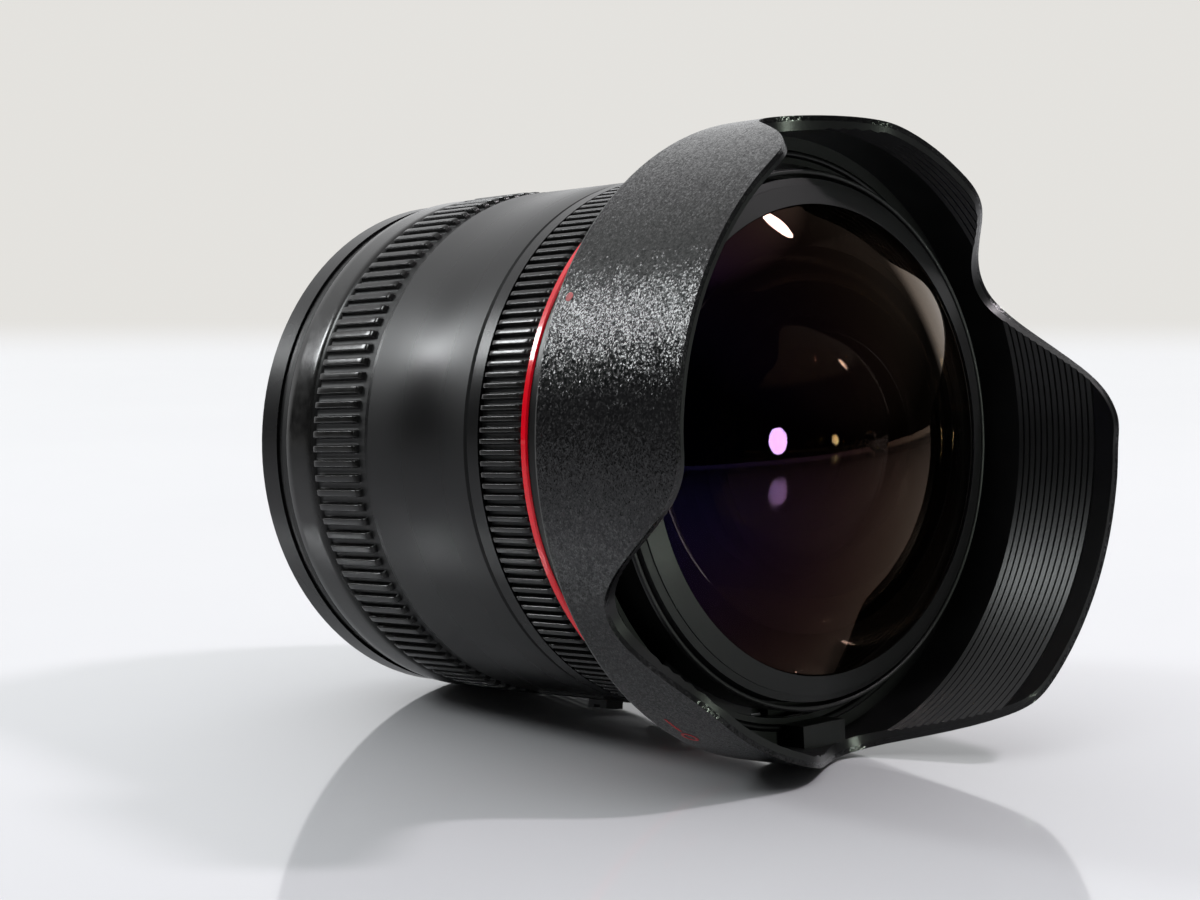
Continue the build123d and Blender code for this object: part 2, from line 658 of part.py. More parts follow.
# Clear window over the distance scale
with BuildPart() as distance_window:
    pane_arc = WINDOW_ARC - degrees(2 * GLUE_GAP / MIDDLE_RADIUS)
    pane = sector(WINDOW_X + GLUE_GAP, MIDDLE_BORE, MIDDLE_BORE + WINDOW_THICK, TOP, pane_arc)
    extrude(pane, amount=WINDOW_LENGTH - 2 * GLUE_GAP)
save(distance_window, "distance_window")

# Switch panel and its two sliding switches
with BuildPart() as switch_panel:
    plate = sector(
        PANEL_X + GLUE_GAP, MIDDLE_RADIUS - PANEL_SUNK, MIDDLE_RADIUS + PANEL_PROUD, SWITCH_ANGLE,
        PANEL_ARC - degrees(2 * GLUE_GAP / MIDDLE_RADIUS),
    )
    extrude(plate, amount=PANEL_LENGTH - 2 * GLUE_GAP)
    for switch_angle in (SWITCH_ANGLE + SWITCH_SPREAD, SWITCH_ANGLE - SWITCH_SPREAD):
        with BuildSketch(facing(switch_angle, SWITCH_SLOT_X, MIDDLE_BORE)):
            Rectangle(SWITCH_SLOT_LENGTH, SWITCH_SLOT_WIDTH)
        extrude(amount=MIDDLE_WALL + 2 * CUT_PAST, mode=Mode.SUBTRACT)
save(switch_panel, "switch_panel")

KNOB_LENGTH = SWITCH_SLOT_LENGTH - SWITCH_TRAVEL - 2 * KNOB_PLAY
SWITCHES = {
    "af_mf_switch": SWITCH_ANGLE + SWITCH_SPREAD,
    "zoom_limit_switch": SWITCH_ANGLE - SWITCH_SPREAD,
}
for switch_name, switch_angle in SWITCHES.items():
    with BuildPart() as switch:
        rest_x = SWITCH_SLOT_X + SWITCH_TRAVEL / 2
        with BuildSketch(facing(switch_angle, rest_x, MIDDLE_BORE + KNOB_PLAY)):
            Rectangle(KNOB_LENGTH, SWITCH_SLOT_WIDTH - 2 * KNOB_PLAY)
        extrude(amount=KNOB_HEIGHT)
        with BuildSketch(facing(switch_angle, rest_x, MIDDLE_BORE + KNOB_PLAY + KNOB_HEIGHT)):
            Rectangle(KNOB_LENGTH / 3, SWITCH_SLOT_WIDTH)
        extrude(amount=-KNOB_NOTCH, mode=Mode.SUBTRACT)
    save(switch, switch_name)

# Focus ring and its rubber grip
FOCUS_GRIP_X = FOCUS_X + FOCUS_RIM_LENGTH
with BuildPart() as focus_ring:
    revolve(
        outline(
            (FOCUS_X, FOCUS_BORE), (FOCUS_X, FOCUS_RIM_RADIUS - EDGE_BEVEL),
            (FOCUS_X + EDGE_BEVEL, FOCUS_RIM_RADIUS),
            (FOCUS_GRIP_X, FOCUS_RIM_RADIUS), (FOCUS_GRIP_X, FOCUS_GRIP_SEAT_RADIUS),
            (FOCUS_END_X, FOCUS_GRIP_SEAT_RADIUS), (FOCUS_END_X, FOCUS_BORE),
        ),
        axis=Axis.X,
    )
save(focus_ring, "focus_ring")

with BuildPart() as focus_grip:
    ribs = ribbed_ring(
        FOCUS_GRIP_X, FOCUS_GRIP_SEAT_RADIUS, FOCUS_GRIP_ROOT_RADIUS, FOCUS_GRIP_RADIUS, FOCUS_RIBS,
        FOCUS_RIB_WIDTH,
    )
    extrude(ribs, amount=FOCUS_END_X - FOCUS_RIB_STOP - FOCUS_GRIP_X)
    with BuildSketch(Plane.YZ.offset(FOCUS_END_X - FOCUS_RIB_STOP)):
        Circle(FOCUS_GRIP_ROOT_RADIUS)
        Circle(FOCUS_GRIP_SEAT_RADIUS, mode=Mode.SUBTRACT)
    extrude(amount=FOCUS_RIB_STOP)
save(focus_grip, "focus_grip")

# Focus drive tube: carries the distance scale and the rotor, and moves the front group by its slots
DRIVE_TURN = FOCUS_TURN * DRIVE_SHARE
with BuildPart() as focus_drive_tube:
    revolve(tube_outline(DRIVE_X, DRIVE_END_X - DRIVE_X, DRIVE_BORE, DRIVE_RADIUS), axis=Axis.X)
    front_roller_x, front_start, front_travel = FRONT_PATH
    for third in range(3):
        add(
            helical_slot(
                DRIVE_RADIUS, DRIVE_WALL, front_start + 120 * third, front_roller_x, DRIVE_TURN, front_travel
            ),
            mode=Mode.SUBTRACT,
        )
save(focus_drive_tube, "focus_drive_tube")

with BuildPart() as distance_scale:
    revolve(
        outline(
            (DRIVE_X, DRIVE_RADIUS), (DRIVE_X, SCALE_RADIUS), (DRIVE_X + SCALE_LENGTH, SCALE_RADIUS),
            (DRIVE_X + SCALE_LENGTH, SCALE_RADIUS - SCALE_WALL),
            (DRIVE_X + SCALE_WALL, SCALE_RADIUS - SCALE_WALL),
            (DRIVE_X + SCALE_WALL, DRIVE_RADIUS),
        ),
        axis=Axis.X,
    )
save(distance_scale, "distance_scale")

with BuildPart() as motor_stator:
    revolve(
        tube_outline(STATOR_X, STATOR_LENGTH, DRIVE_RADIUS + 2 * RUNNING, MIDDLE_BORE - LENS_FIT),
        axis=Axis.X,
    )
    with BuildSketch(Plane.YZ.offset(STATOR_X + STATOR_LENGTH)):
        with PolarLocations(MIDDLE_BORE, STATOR_TEETH):
            Rectangle(2 * (MIDDLE_RADIUS - NECK_RADIUS), TOOTH_GAP)
    extrude(amount=-TOOTH_DEPTH, mode=Mode.SUBTRACT)
save(motor_stator, "motor_stator")

with BuildPart() as motor_rotor:
    rotor_x = STATOR_X + STATOR_LENGTH + ROTOR_GAP
    revolve(tube_outline(rotor_x, ROTOR_LENGTH, DRIVE_RADIUS, MIDDLE_BORE - 2 * FACE_GAP), axis=Axis.X)
save(motor_rotor, "motor_rotor")

# Front barrel: red ring's seat, collar, hood lugs and the raised lip round the glass
LIP_BORE = NOSE_RADIUS - LIP_WALL
with BuildPart() as front_barrel:
    revolve(
        outline(
            (RED_RING_X, NECK_RADIUS), (RED_RING_X, RED_RING_SEAT),
            (RED_RING_X + RED_RING_LENGTH, RED_RING_SEAT),
            (RED_RING_X + RED_RING_LENGTH, MIDDLE_RADIUS), (COLLAR_END_X, MIDDLE_RADIUS),
            (COLLAR_END_X, BAYONET_RADIUS), (PAWL_GROOVE_X, BAYONET_RADIUS),
            (PAWL_GROOVE_X, NOSE_RADIUS - PAWL_GROOVE_DEPTH),
            (PAWL_GROOVE_X + PAWL_GROOVE_LENGTH, NOSE_RADIUS - PAWL_GROOVE_DEPTH),
            (PAWL_GROOVE_X + PAWL_GROOVE_LENGTH, NOSE_RADIUS), (LIP_X - FINE_BEVEL, NOSE_RADIUS),
            (LIP_X, NOSE_RADIUS - FINE_BEVEL), (LIP_X, LIP_BORE), (LIP_X - LIP_DEPTH, LIP_BORE),
            (LIP_X - LIP_DEPTH, NOSE_BORE), (NECK_END_X, NOSE_BORE), (NECK_END_X, NECK_RADIUS),
        ),
        axis=Axis.X,
    )
    for third in range(3):
        lug = sector(BAYONET_X, NOSE_RADIUS - LUG_ROOT, BAYONET_RADIUS, LEFT + 120 * third, BAYONET_ARC)
        extrude(lug, amount=BAYONET_THICK)
save(front_barrel, "front_barrel")

with BuildPart() as red_ring:
    revolve(
        outline(
            (RED_RING_X, RED_RING_SEAT), (RED_RING_X, RED_RING_RADIUS - FINE_BEVEL),
            (RED_RING_X + FINE_BEVEL, RED_RING_RADIUS),
            (RED_RING_X + RED_RING_LENGTH - FINE_BEVEL, RED_RING_RADIUS),
            (RED_RING_X + RED_RING_LENGTH, RED_RING_RADIUS - FINE_BEVEL),
            (RED_RING_X + RED_RING_LENGTH, RED_RING_SEAT),
        ),
        axis=Axis.X,
    )
save(red_ring, "red_ring")


# Petal hood


def swell(start, end, share):
    """A smooth step from one value to another."""
    return start + (end - start) * (1 - cos(pi * share)) / 2


def petal_edge_x(angle):
    """Where the hood's front edge lies: two long petals, two short ones and rounded valleys between."""
    away = abs((angle - TOP + 90) % 180 - 90)
    if away < LONG_HALF_ARC:
        return LONG_TIP_X
    if away < VALLEY_ARC:
        return swell(LONG_TIP_X, VALLEY_X, (away - LONG_HALF_ARC) / (VALLEY_ARC - LONG_HALF_ARC))
    if away < SHORT_START_ARC:
        return swell(VALLEY_X, SHORT_TIP_X, (away - VALLEY_ARC) / (SHORT_START_ARC - VALLEY_ARC))
    return SHORT_TIP_X


def petal_loop(radius):
    """The petal edge as a closed curve at a radius."""
    points = []
    for angle in range(0, 360, EDGE_STEP):
        spot = outward(angle) * radius
        points.append((petal_edge_x(angle), spot.Y, spot.Z))
    return Spline(*points, periodic=True)


def hood_wall_radius(x):
    """The hood's inner wall, which thins towards the front edge."""
    share = (x - HOOD_CUP_X) / (LONG_TIP_X - HOOD_CUP_X)
    return HOOD_CUP_RADIUS + (HOOD_RADIUS - HOOD_EDGE_WALL - HOOD_CUP_RADIUS) * share


petal_surface = Face.make_surface_from_curves(petal_loop(NOSE_RADIUS), petal_loop(HOOD_RADIUS + CUT_PAST))
rib_line = []
for rib in range(HOOD_RIBS):
    rib_x = HOOD_RIBS_X + HOOD_RIB_PITCH * rib
    rib_line.append((rib_x, hood_wall_radius(rib_x)))
    rib_line.append((rib_x + HOOD_RIB_PITCH / 2, hood_wall_radius(rib_x) + HOOD_RIB_DEPTH))
rib_end_x = HOOD_RIBS_X + HOOD_RIB_PITCH * HOOD_RIBS
BUTTON_MIDDLE_X = BUTTON_X + BUTTON_LENGTH / 2
CHANNEL_X = HOOD_REAR_X + FACE_GAP
CONE_SLOPE = (HOOD_RADIUS - HOOD_REAR_RADIUS) / (HOOD_SHOULDER_X - HOOD_REAR_X)
with BuildPart() as hood:
    revolve(
        outline(
            (HOOD_REAR_X, HOOD_BORE), (HOOD_REAR_X, HOOD_REAR_RADIUS), (HOOD_SHOULDER_X, HOOD_RADIUS),
            (LONG_TIP_X + CUT_PAST, HOOD_RADIUS),
            (LONG_TIP_X + CUT_PAST, hood_wall_radius(LONG_TIP_X + CUT_PAST)),
            (rib_end_x, hood_wall_radius(rib_end_x)), *reversed(rib_line),
            (HOOD_CUP_X, HOOD_CUP_RADIUS), (HOOD_CUP_X, HOOD_BORE),
        ),
        axis=Axis.X,
    )
    split(bisect_by=petal_surface, keep=Keep.TOP)
    for third in range(3):
        lug_x = BAYONET_X - RUNNING - HOOD_LUG_THICK
        lug = sector(lug_x, NOSE_RADIUS + RUNNING, HOOD_BORE + LUG_ROOT, LEFT + 120 * third, HOOD_LUG_ARC)
        extrude(lug, amount=HOOD_LUG_THICK)
    with BuildSketch(facing(BUTTON_ANGLE, BUTTON_MIDDLE_X, BOSS_RADIUS)):
        Rectangle(BUTTON_LENGTH + 2 * BOSS_WALL, BUTTON_WIDTH + 2 * BOSS_WALL)
    extrude(amount=HOOD_CUP_RADIUS + LUG_ROOT - BOSS_RADIUS)
    with BuildSketch(facing(BUTTON_ANGLE, BUTTON_MIDDLE_X, SPRING_FLOOR)):
        Rectangle(BUTTON_LENGTH + 2 * BUTTON_PLAY, BUTTON_WIDTH + 2 * BUTTON_PLAY)
    extrude(amount=HOOD_RADIUS, mode=Mode.SUBTRACT)
    with BuildSketch(lengthwise(BUTTON_ANGLE)):
        with BuildLine():
            Polyline(
                (CHANNEL_X, NOSE_RADIUS), (CHANNEL_X, HOOD_REAR_RADIUS - PAWL_COVER),
                (CHANNEL_X + (PAWL_ROOF - HOOD_REAR_RADIUS + PAWL_COVER) / CONE_SLOPE, PAWL_ROOF),
                (BUTTON_X, PAWL_ROOF), (BUTTON_X, NOSE_RADIUS), close=True,
            )
        make_face()
    extrude(amount=PAWL_WIDTH / 2 + BUTTON_PLAY, both=True, mode=Mode.SUBTRACT)
save(hood, "hood")

# Hood release button with its pawl, and the leaf spring under it
PAWL_TIP = NOSE_RADIUS + PAWL_SHORT
PAWL_SHOULDER = HOOD_REAR_RADIUS - PAWL_COVER + (PAWL_X - CHANNEL_X) * CONE_SLOPE - BUTTON_PLAY
ARM_TOP = PAWL_ROOF - BUTTON_PLAY
with BuildPart() as hood_release_button:
    with BuildSketch(facing(BUTTON_ANGLE, BUTTON_MIDDLE_X, BUTTON_FOOT)):
        Rectangle(BUTTON_LENGTH, BUTTON_WIDTH)
    extrude(amount=BUTTON_THICK)
    above = outward(BUTTON_ANGLE) * HOOD_RADIUS + Vector(BUTTON_MIDDLE_X, 0, 0)
    fillet(hood_release_button.edges().sort_by_distance(above)[:4], BUTTON_SOFT)
    with BuildSketch(lengthwise(BUTTON_ANGLE)):
        with BuildLine():
            Polyline(
                (PAWL_X, PAWL_TIP), (PAWL_X + PAWL_LENGTH, PAWL_TIP),
                (PAWL_X + PAWL_LENGTH, ARM_TOP - PAWL_ARM - (BUTTON_X - PAWL_X - PAWL_LENGTH) / 2),
                (BUTTON_X - EDGE_BEVEL, ARM_TOP - PAWL_ARM), (BUTTON_X + EDGE_BEVEL, ARM_TOP - PAWL_ARM),
                (BUTTON_X + EDGE_BEVEL, ARM_TOP),
                (PAWL_X + (ARM_TOP - PAWL_SHOULDER) / CONE_SLOPE, ARM_TOP),
                (PAWL_X, PAWL_SHOULDER), close=True,
            )
        make_face()
    extrude(amount=PAWL_WIDTH / 2, both=True)
save(hood_release_button, "hood_release_button")

with BuildPart() as button_spring:
    with BuildSketch(lengthwise(BUTTON_ANGLE)):
        with BuildLine():
            foot_x = BUTTON_MIDDLE_X - SPRING_REACH
            far_foot_x = BUTTON_MIDDLE_X + SPRING_REACH
            Polyline(
                (foot_x, SPRING_FLOOR), (BUTTON_MIDDLE_X, SPRING_FLOOR + SPRING_RISE),
                (far_foot_x, SPRING_FLOOR),
                (far_foot_x, SPRING_FLOOR + SPRING_THICK),
                (BUTTON_MIDDLE_X, SPRING_FLOOR + SPRING_RISE + SPRING_THICK),
                (foot_x, SPRING_FLOOR + SPRING_THICK), close=True,
            )
        make_face()
    extrude(amount=SPRING_WIDTH / 2, both=True)
save(button_spring, "button_spring")

# Front group: its carrier and rollers
FRONT_CELL_END_X = FRONT_GLASS[0] - sag(FRONT_GLASS[1], FRONT_GLASS[4]) - 0.5
FRONT_RIM, FRONT_BACK_RIM = FRONT_GLASS[4:]
SECOND_RIM = SECOND_GLASS[4]
DOUBLET_RIM = FOURTH_GLASS[4]
SECOND_CELL_RADIUS = SECOND_RIM + CELL_WALL
DOUBLET_CELL_RADIUS = DOUBLET_RIM + CELL_WALL
ROLLER_FOOT = GROUP_RADIUS - GROUP_WALL / 2
with BuildPart() as front_carrier:
    revolve(
        outline(
            (FRONT_SKIRT_X, GROUP_RADIUS), (FRONT_CELL_X, GROUP_RADIUS),
            (FRONT_CELL_X, FRONT_CELL_RADIUS),
            (FRONT_CELL_END_X, FRONT_CELL_RADIUS), (FRONT_CELL_END_X, FRONT_RIM + LENS_FIT),
            (FRONT_SEAT_X - SEAT_PLAY, FRONT_RIM + LENS_FIT),
            (FRONT_SEAT_X - SEAT_PLAY, FRONT_BACK_RIM + CELL_LIP),
            (SECOND_SEAT_X, FRONT_BACK_RIM + CELL_LIP), (SECOND_SEAT_X, SECOND_CELL_RADIUS),
            (SECOND_CELL_END_X, SECOND_CELL_RADIUS), (SECOND_CELL_END_X, SECOND_RIM + LENS_FIT),
            (SECOND_SEAT_X - SEAT_PLAY, SECOND_RIM + LENS_FIT),
            (SECOND_SEAT_X - SEAT_PLAY, DOUBLET_CELL_RADIUS),
            (DOUBLET_CELL_END_X, DOUBLET_RIM + LENS_FIT), (DOUBLET_X, DOUBLET_RIM + LENS_FIT),
            (DOUBLET_X, DOUBLET_RIM - CELL_LIP), (DOUBLET_X - CELL_LIP_THICK, DOUBLET_RIM - CELL_LIP),
            (DOUBLET_X - CELL_LIP_THICK, DOUBLET_CELL_RADIUS), (FRONT_WEB_X, DOUBLET_CELL_RADIUS),
            (FRONT_WEB_X, GROUP_RADIUS - GROUP_WALL), (FRONT_SKIRT_X, GROUP_RADIUS - GROUP_WALL),
        ),
        axis=Axis.X,
    )
    add(cam_rollers(FRONT_PATH, ROLLER_FOOT, DRIVE_RADIUS).part, mode=Mode.SUBTRACT)
save(front_carrier, "front_carrier")

front_rollers = cam_rollers(FRONT_PATH, ROLLER_FOOT, DRIVE_RADIUS - FACE_GAP)
save(front_rollers, "front_rollers")

# Grey bezel that holds the front glass
BEZEL_BORE = FRONT_CELL_RADIUS + LENS_FIT
GLASS_RIM_X = FRONT_GLASS[0] - sag(FRONT_GLASS[1], GLASS_RIM_RADIUS)
BEZEL_STEP_X = GLASS_RIM_X - BEZEL_STEP_BACK
with BuildPart() as front_bezel:
    revolve(
        outline(
            (BEZEL_X, BEZEL_BORE), (BEZEL_X, BEZEL_RADIUS),
            (BEZEL_STEP_X - EDGE_BEVEL, BEZEL_RADIUS - FINE_BEVEL),
            (BEZEL_STEP_X, BEZEL_STEP_RADIUS), (BEZEL_STEP_X + BEZEL_LIFT, BEZEL_STEP_RADIUS),
            (GLASS_RIM_X + BEZEL_LIFT, GLASS_RIM_RADIUS), (GLASS_RIM_X + SEAT_PLAY, GLASS_RIM_RADIUS),
            (FRONT_CELL_END_X + 6 * FACE_GAP, FRONT_RIM + LENS_FIT),
            (FRONT_CELL_END_X + FACE_GAP, FRONT_RIM + FACE_GAP),
            (FRONT_CELL_END_X + FACE_GAP, BEZEL_BORE),
        ),
        axis=Axis.X,
    )
save(front_bezel, "front_bezel")

# Glass of the front group: two deep menisci and a cemented pair
front_element = element(*FRONT_GLASS)
save(front_element, "front_element")
second_element = element(*SECOND_GLASS)
save(second_element, "second_element")
third_element = element(*THIRD_GLASS)
save(third_element, "third_element")
fourth_element = element(*FOURTH_GLASS)
save(fourth_element, "fourth_element")

# Threaded rings that hold the second element and the cemented pair
SECOND_FACE_X = SECOND_GLASS[0] - sag(SECOND_GLASS[1], SECOND_RIM)
with BuildPart() as inner_retainer:
    revolve(
        outline(
            (SECOND_CELL_END_X + LENS_FIT, SECOND_RIM + LENS_FIT),
            (SECOND_CELL_END_X + LENS_FIT, SECOND_CELL_RADIUS),
            (SECOND_CELL_END_X + RETAINER_THICK, SECOND_CELL_RADIUS),
            (SECOND_FACE_X + 2 * EDGE_BEVEL, SECOND_RIM + EDGE_BEVEL),
            (SECOND_FACE_X + 2 * EDGE_BEVEL, SECOND_RIM - 2 * EDGE_BEVEL),
            (SECOND_FACE_X + EDGE_BEVEL + FINE_BEVEL, SECOND_RIM - 2 * EDGE_BEVEL),
            (SECOND_FACE_X + SEAT_PLAY, SECOND_RIM + LENS_FIT),
        ),
        axis=Axis.X,
    )
save(inner_retainer, "inner_retainer")

DOUBLET_FACE_X = THIRD_GLASS[0] - sag(THIRD_GLASS[1], DOUBLET_RIM)
with BuildPart() as doublet_retainer:
    revolve(
        tube_outline(DOUBLET_FACE_X + FACE_GAP, RETAINER_THICK, DOUBLET_RIM - RETAINER_WIDTH, DOUBLET_RIM),
        axis=Axis.X,
    )
save(doublet_retainer, "doublet_retainer")

# Second group, in front of the iris: carrier, rollers and a cemented pair
SECOND_GROUP_WEB_END_X = SECOND_WEB_X + SECOND_WEB_THICK
SMALL_CELL_BORE = CELL_RADIUS + LENS_FIT
SMALL_CELL_RADIUS = CELL_RADIUS + CELL_WALL
with BuildPart() as second_carrier:
    revolve(
        outline(
            (SECOND_GROUP_X, GROUP_RADIUS), (SECOND_GROUP_END_X, GROUP_RADIUS),
            (SECOND_GROUP_END_X, GROUP_RADIUS - GROUP_WALL),
            (SECOND_GROUP_WEB_END_X, GROUP_RADIUS - GROUP_WALL),
            (SECOND_GROUP_WEB_END_X, SMALL_CELL_RADIUS),
            (SECOND_CELL_X + SECOND_CELL_LENGTH, SMALL_CELL_RADIUS),
            (SECOND_CELL_X + SECOND_CELL_LENGTH, SMALL_CELL_BORE), (SECOND_LIP_X, SMALL_CELL_BORE),
            (SECOND_LIP_X, CELL_RADIUS - CELL_LIP), (SECOND_CELL_X, CELL_RADIUS - CELL_LIP),
            (SECOND_CELL_X, SMALL_CELL_RADIUS), (SECOND_WEB_X, SMALL_CELL_RADIUS),
            (SECOND_WEB_X, GROUP_RADIUS - GROUP_WALL), (SECOND_GROUP_X, GROUP_RADIUS - GROUP_WALL),
        ),
        axis=Axis.X,
    )
    add(cam_rollers(SECOND_PATH, ROLLER_FOOT, CAM_RADIUS).part, mode=Mode.SUBTRACT)
save(second_carrier, "second_carrier")

second_rollers = cam_rollers(SECOND_PATH, ROLLER_FOOT, CAM_RADIUS - FACE_GAP)
save(second_rollers, "second_rollers")
fifth_element = element(*FIFTH_GLASS)
save(fifth_element, "fifth_element")
sixth_element = element(*SIXTH_GLASS)
save(sixth_element, "sixth_element")

# Rear group, which carries the iris: carrier, rollers, glass, rear ring and aperture motor
REAR_WEB_END_X = REAR_WEB_X + REAR_WEB_THICK
REAR_LIP_END_X = REAR_LIP_X + REAR_LIP_THICK
IRIS_SEAT_X = IRIS_X - FACE_GAP
with BuildPart() as rear_carrier:
    revolve(
        outline(
            (REAR_GROUP_X, GROUP_RADIUS - GROUP_WALL), (REAR_GROUP_X, GROUP_RADIUS),
            (REAR_GROUP_END_X, GROUP_RADIUS), (REAR_GROUP_END_X, IRIS_RADIUS), (IRIS_SEAT_X, IRIS_RADIUS),
            (IRIS_SEAT_X, IRIS_RADIUS - IRIS_LEDGE), (REAR_WEB_END_X, IRIS_RADIUS - IRIS_LEDGE),
            (REAR_WEB_END_X, SMALL_CELL_RADIUS), (REAR_CELL_END_X, SMALL_CELL_RADIUS),
            (REAR_CELL_END_X, SMALL_CELL_BORE), (REAR_LIP_END_X, SMALL_CELL_BORE),
            (REAR_LIP_END_X, CELL_RADIUS - CELL_LIP), (REAR_LIP_X, CELL_RADIUS - CELL_LIP),
            (REAR_LIP_X, SMALL_CELL_BORE), (REAR_CELL_X, SMALL_CELL_BORE),
            (REAR_CELL_X, SMALL_CELL_RADIUS),
            (REAR_WEB_X, SMALL_CELL_RADIUS), (REAR_WEB_X, GROUP_RADIUS - GROUP_WALL),
        ),
        axis=Axis.X,
    )
    add(cam_rollers(REAR_PATH, ROLLER_FOOT, CAM_RADIUS).part, mode=Mode.SUBTRACT)
save(rear_carrier, "rear_carrier")

rear_rollers = cam_rollers(REAR_PATH, ROLLER_FOOT, CAM_RADIUS - FACE_GAP)
save(rear_rollers, "rear_rollers")
seventh_element = element(*SEVENTH_GLASS)
save(seventh_element, "seventh_element")
eighth_element = element(*EIGHTH_GLASS)
save(eighth_element, "eighth_element")
ninth_element = element(*NINTH_GLASS)
save(ninth_element, "ninth_element")

with BuildPart() as rear_retainer:
    revolve(
        tube_outline(REAR_CELL_X, RETAINER_THICK, CELL_RADIUS - RETAINER_WIDTH, CELL_RADIUS),
        axis=Axis.X,
    )
save(rear_retainer, "rear_retainer")

with BuildPart() as aperture_motor:
    with BuildSketch(Plane.YZ.offset(REAR_WEB_END_X)):
        with PolarLocations(MOTOR_CIRCLE, 1, start_angle=BOTTOM):
            Circle(MOTOR_RADIUS)
    extrude(amount=MOTOR_END_X - REAR_WEB_END_X)
    chamfer(aperture_motor.faces().sort_by(Axis.X)[-1].edges(), EDGE_BEVEL)
save(aperture_motor, "aperture_motor")

# Iris: base plate, seven blades, the ring that drives them and a cover
PLATE_RADIUS = IRIS_RADIUS - LENS_FIT
with BuildPart() as aperture_base:
    revolve(tube_outline(IRIS_X, IRIS_PLATE, IRIS_OPENING, PLATE_RADIUS), axis=Axis.X)
    with BuildSketch(Plane.YZ.offset(IRIS_X)):
        with PolarLocations(BLADE_PIVOT, BLADES, start_angle=TOP):
            Circle(PIVOT_PIN_RADIUS + PIN_PLAY)
    extrude(amount=IRIS_PLATE, mode=Mode.SUBTRACT)
save(aperture_base, "aperture_base")

for number in range(BLADES):
    pivot_angle = TOP + 360 / BLADES * number
    blade_x = BLADE_X + BLADE_STEP * number
    with BuildPart() as blade:
        leaf = sector(blade_x, BLADE_INNER, BLADE_OUTER, pivot_angle + BLADE_ARC / 2 - BLADE_TAIL, BLADE_ARC)
        extrude(leaf, amount=BLADE_THICK)
        with BuildSketch(Plane.YZ.offset(blade_x)):
            with PolarLocations(BLADE_PIVOT + BLADE_LEVER / 2, 1, start_angle=pivot_angle):
                SlotCenterToCenter(BLADE_LEVER, 2 * BLADE_EYE)
            with PolarLocations(BLADE_PIVOT - BLADE_EYE, 1, start_angle=pivot_angle):
                Rectangle(2 * BLADE_EYE, 2 * BLADE_EYE)
        extrude(amount=BLADE_THICK)
        with BuildSketch(Plane.YZ.offset(IRIS_X + FACE_GAP)):
            with PolarLocations(BLADE_PIVOT, 1, start_angle=pivot_angle):
                Circle(PIVOT_PIN_RADIUS)
        extrude(amount=blade_x - IRIS_X - FACE_GAP)
        with BuildSketch(Plane.YZ.offset(blade_x)):
            with PolarLocations(BLADE_PIVOT + BLADE_LEVER, 1, start_angle=pivot_angle):
                Circle(DRIVE_PIN_RADIUS)
        extrude(amount=DRIVE_RING_X + DRIVE_RING_THICK - FACE_GAP - blade_x)
    save(blade, f"aperture_blade_{number + 1}")

SLOT_CIRCLE = BLADE_PIVOT + BLADE_LEVER - DRIVE_SLOT_LENGTH / 2
with BuildPart() as aperture_drive_ring:
    revolve(
        tube_outline(DRIVE_RING_X, DRIVE_RING_THICK, IRIS_OPENING + EDGE_BEVEL, PLATE_RADIUS - RUNNING),
        axis=Axis.X,
    )
    with BuildSketch(Plane.YZ.offset(DRIVE_RING_X)):
        with PolarLocations(SLOT_CIRCLE, BLADES, start_angle=TOP):
            SlotCenterToCenter(DRIVE_SLOT_LENGTH, 2 * (DRIVE_PIN_RADIUS + 2 * PIN_PLAY))
    extrude(amount=DRIVE_RING_THICK, mode=Mode.SUBTRACT)
save(aperture_drive_ring, "aperture_drive_ring")

with BuildPart() as aperture_cover:
    revolve(tube_outline(IRIS_COVER_X, IRIS_PLATE, IRIS_OPENING, PLATE_RADIUS), axis=Axis.X)
save(aperture_cover, "aperture_cover")

# Behind the rear glass: light baffle, gel filter holder, contact block and contacts
BAFFLE_RADIUS = SPIGOT_BORE - RUNNING
with BuildPart() as rear_baffle:
    revolve(
        outline(
            (BAFFLE_X, 0), (BAFFLE_X, BAFFLE_RADIUS), (FLANGE_THICK, BAFFLE_RADIUS),
            (FLANGE_THICK, BAFFLE_RADIUS - BAFFLE_THICK),
            (BAFFLE_X + BAFFLE_THICK, BAFFLE_RADIUS - BAFFLE_THICK),
            (BAFFLE_X + BAFFLE_THICK, 0),
        ),
        axis=Axis.X,
    )
    with BuildSketch(facing_rear(BAFFLE_X)):
        Rectangle(BAFFLE_WIDTH, BAFFLE_HEIGHT)
    extrude(amount=-BAFFLE_THICK, mode=Mode.SUBTRACT)
save(rear_baffle, "rear_baffle")

with BuildPart() as gel_filter_holder:
    with BuildSketch(facing_rear(BAFFLE_X)):
        Rectangle(BAFFLE_WIDTH + 2 * HOLDER_RIM, BAFFLE_HEIGHT + 2 * HOLDER_RIM)
        Rectangle(BAFFLE_WIDTH, BAFFLE_HEIGHT, mode=Mode.SUBTRACT)
    extrude(amount=HOLDER_THICK)
    with BuildSketch(facing_rear(BAFFLE_X).offset((HOLDER_THICK - HOLDER_SLOT) / 2)):
        Rectangle(BAFFLE_WIDTH + HOLDER_RIM, BAFFLE_HEIGHT + 3 * HOLDER_RIM)
    extrude(amount=HOLDER_SLOT, mode=Mode.SUBTRACT)
save(gel_filter_holder, "gel_filter_holder")

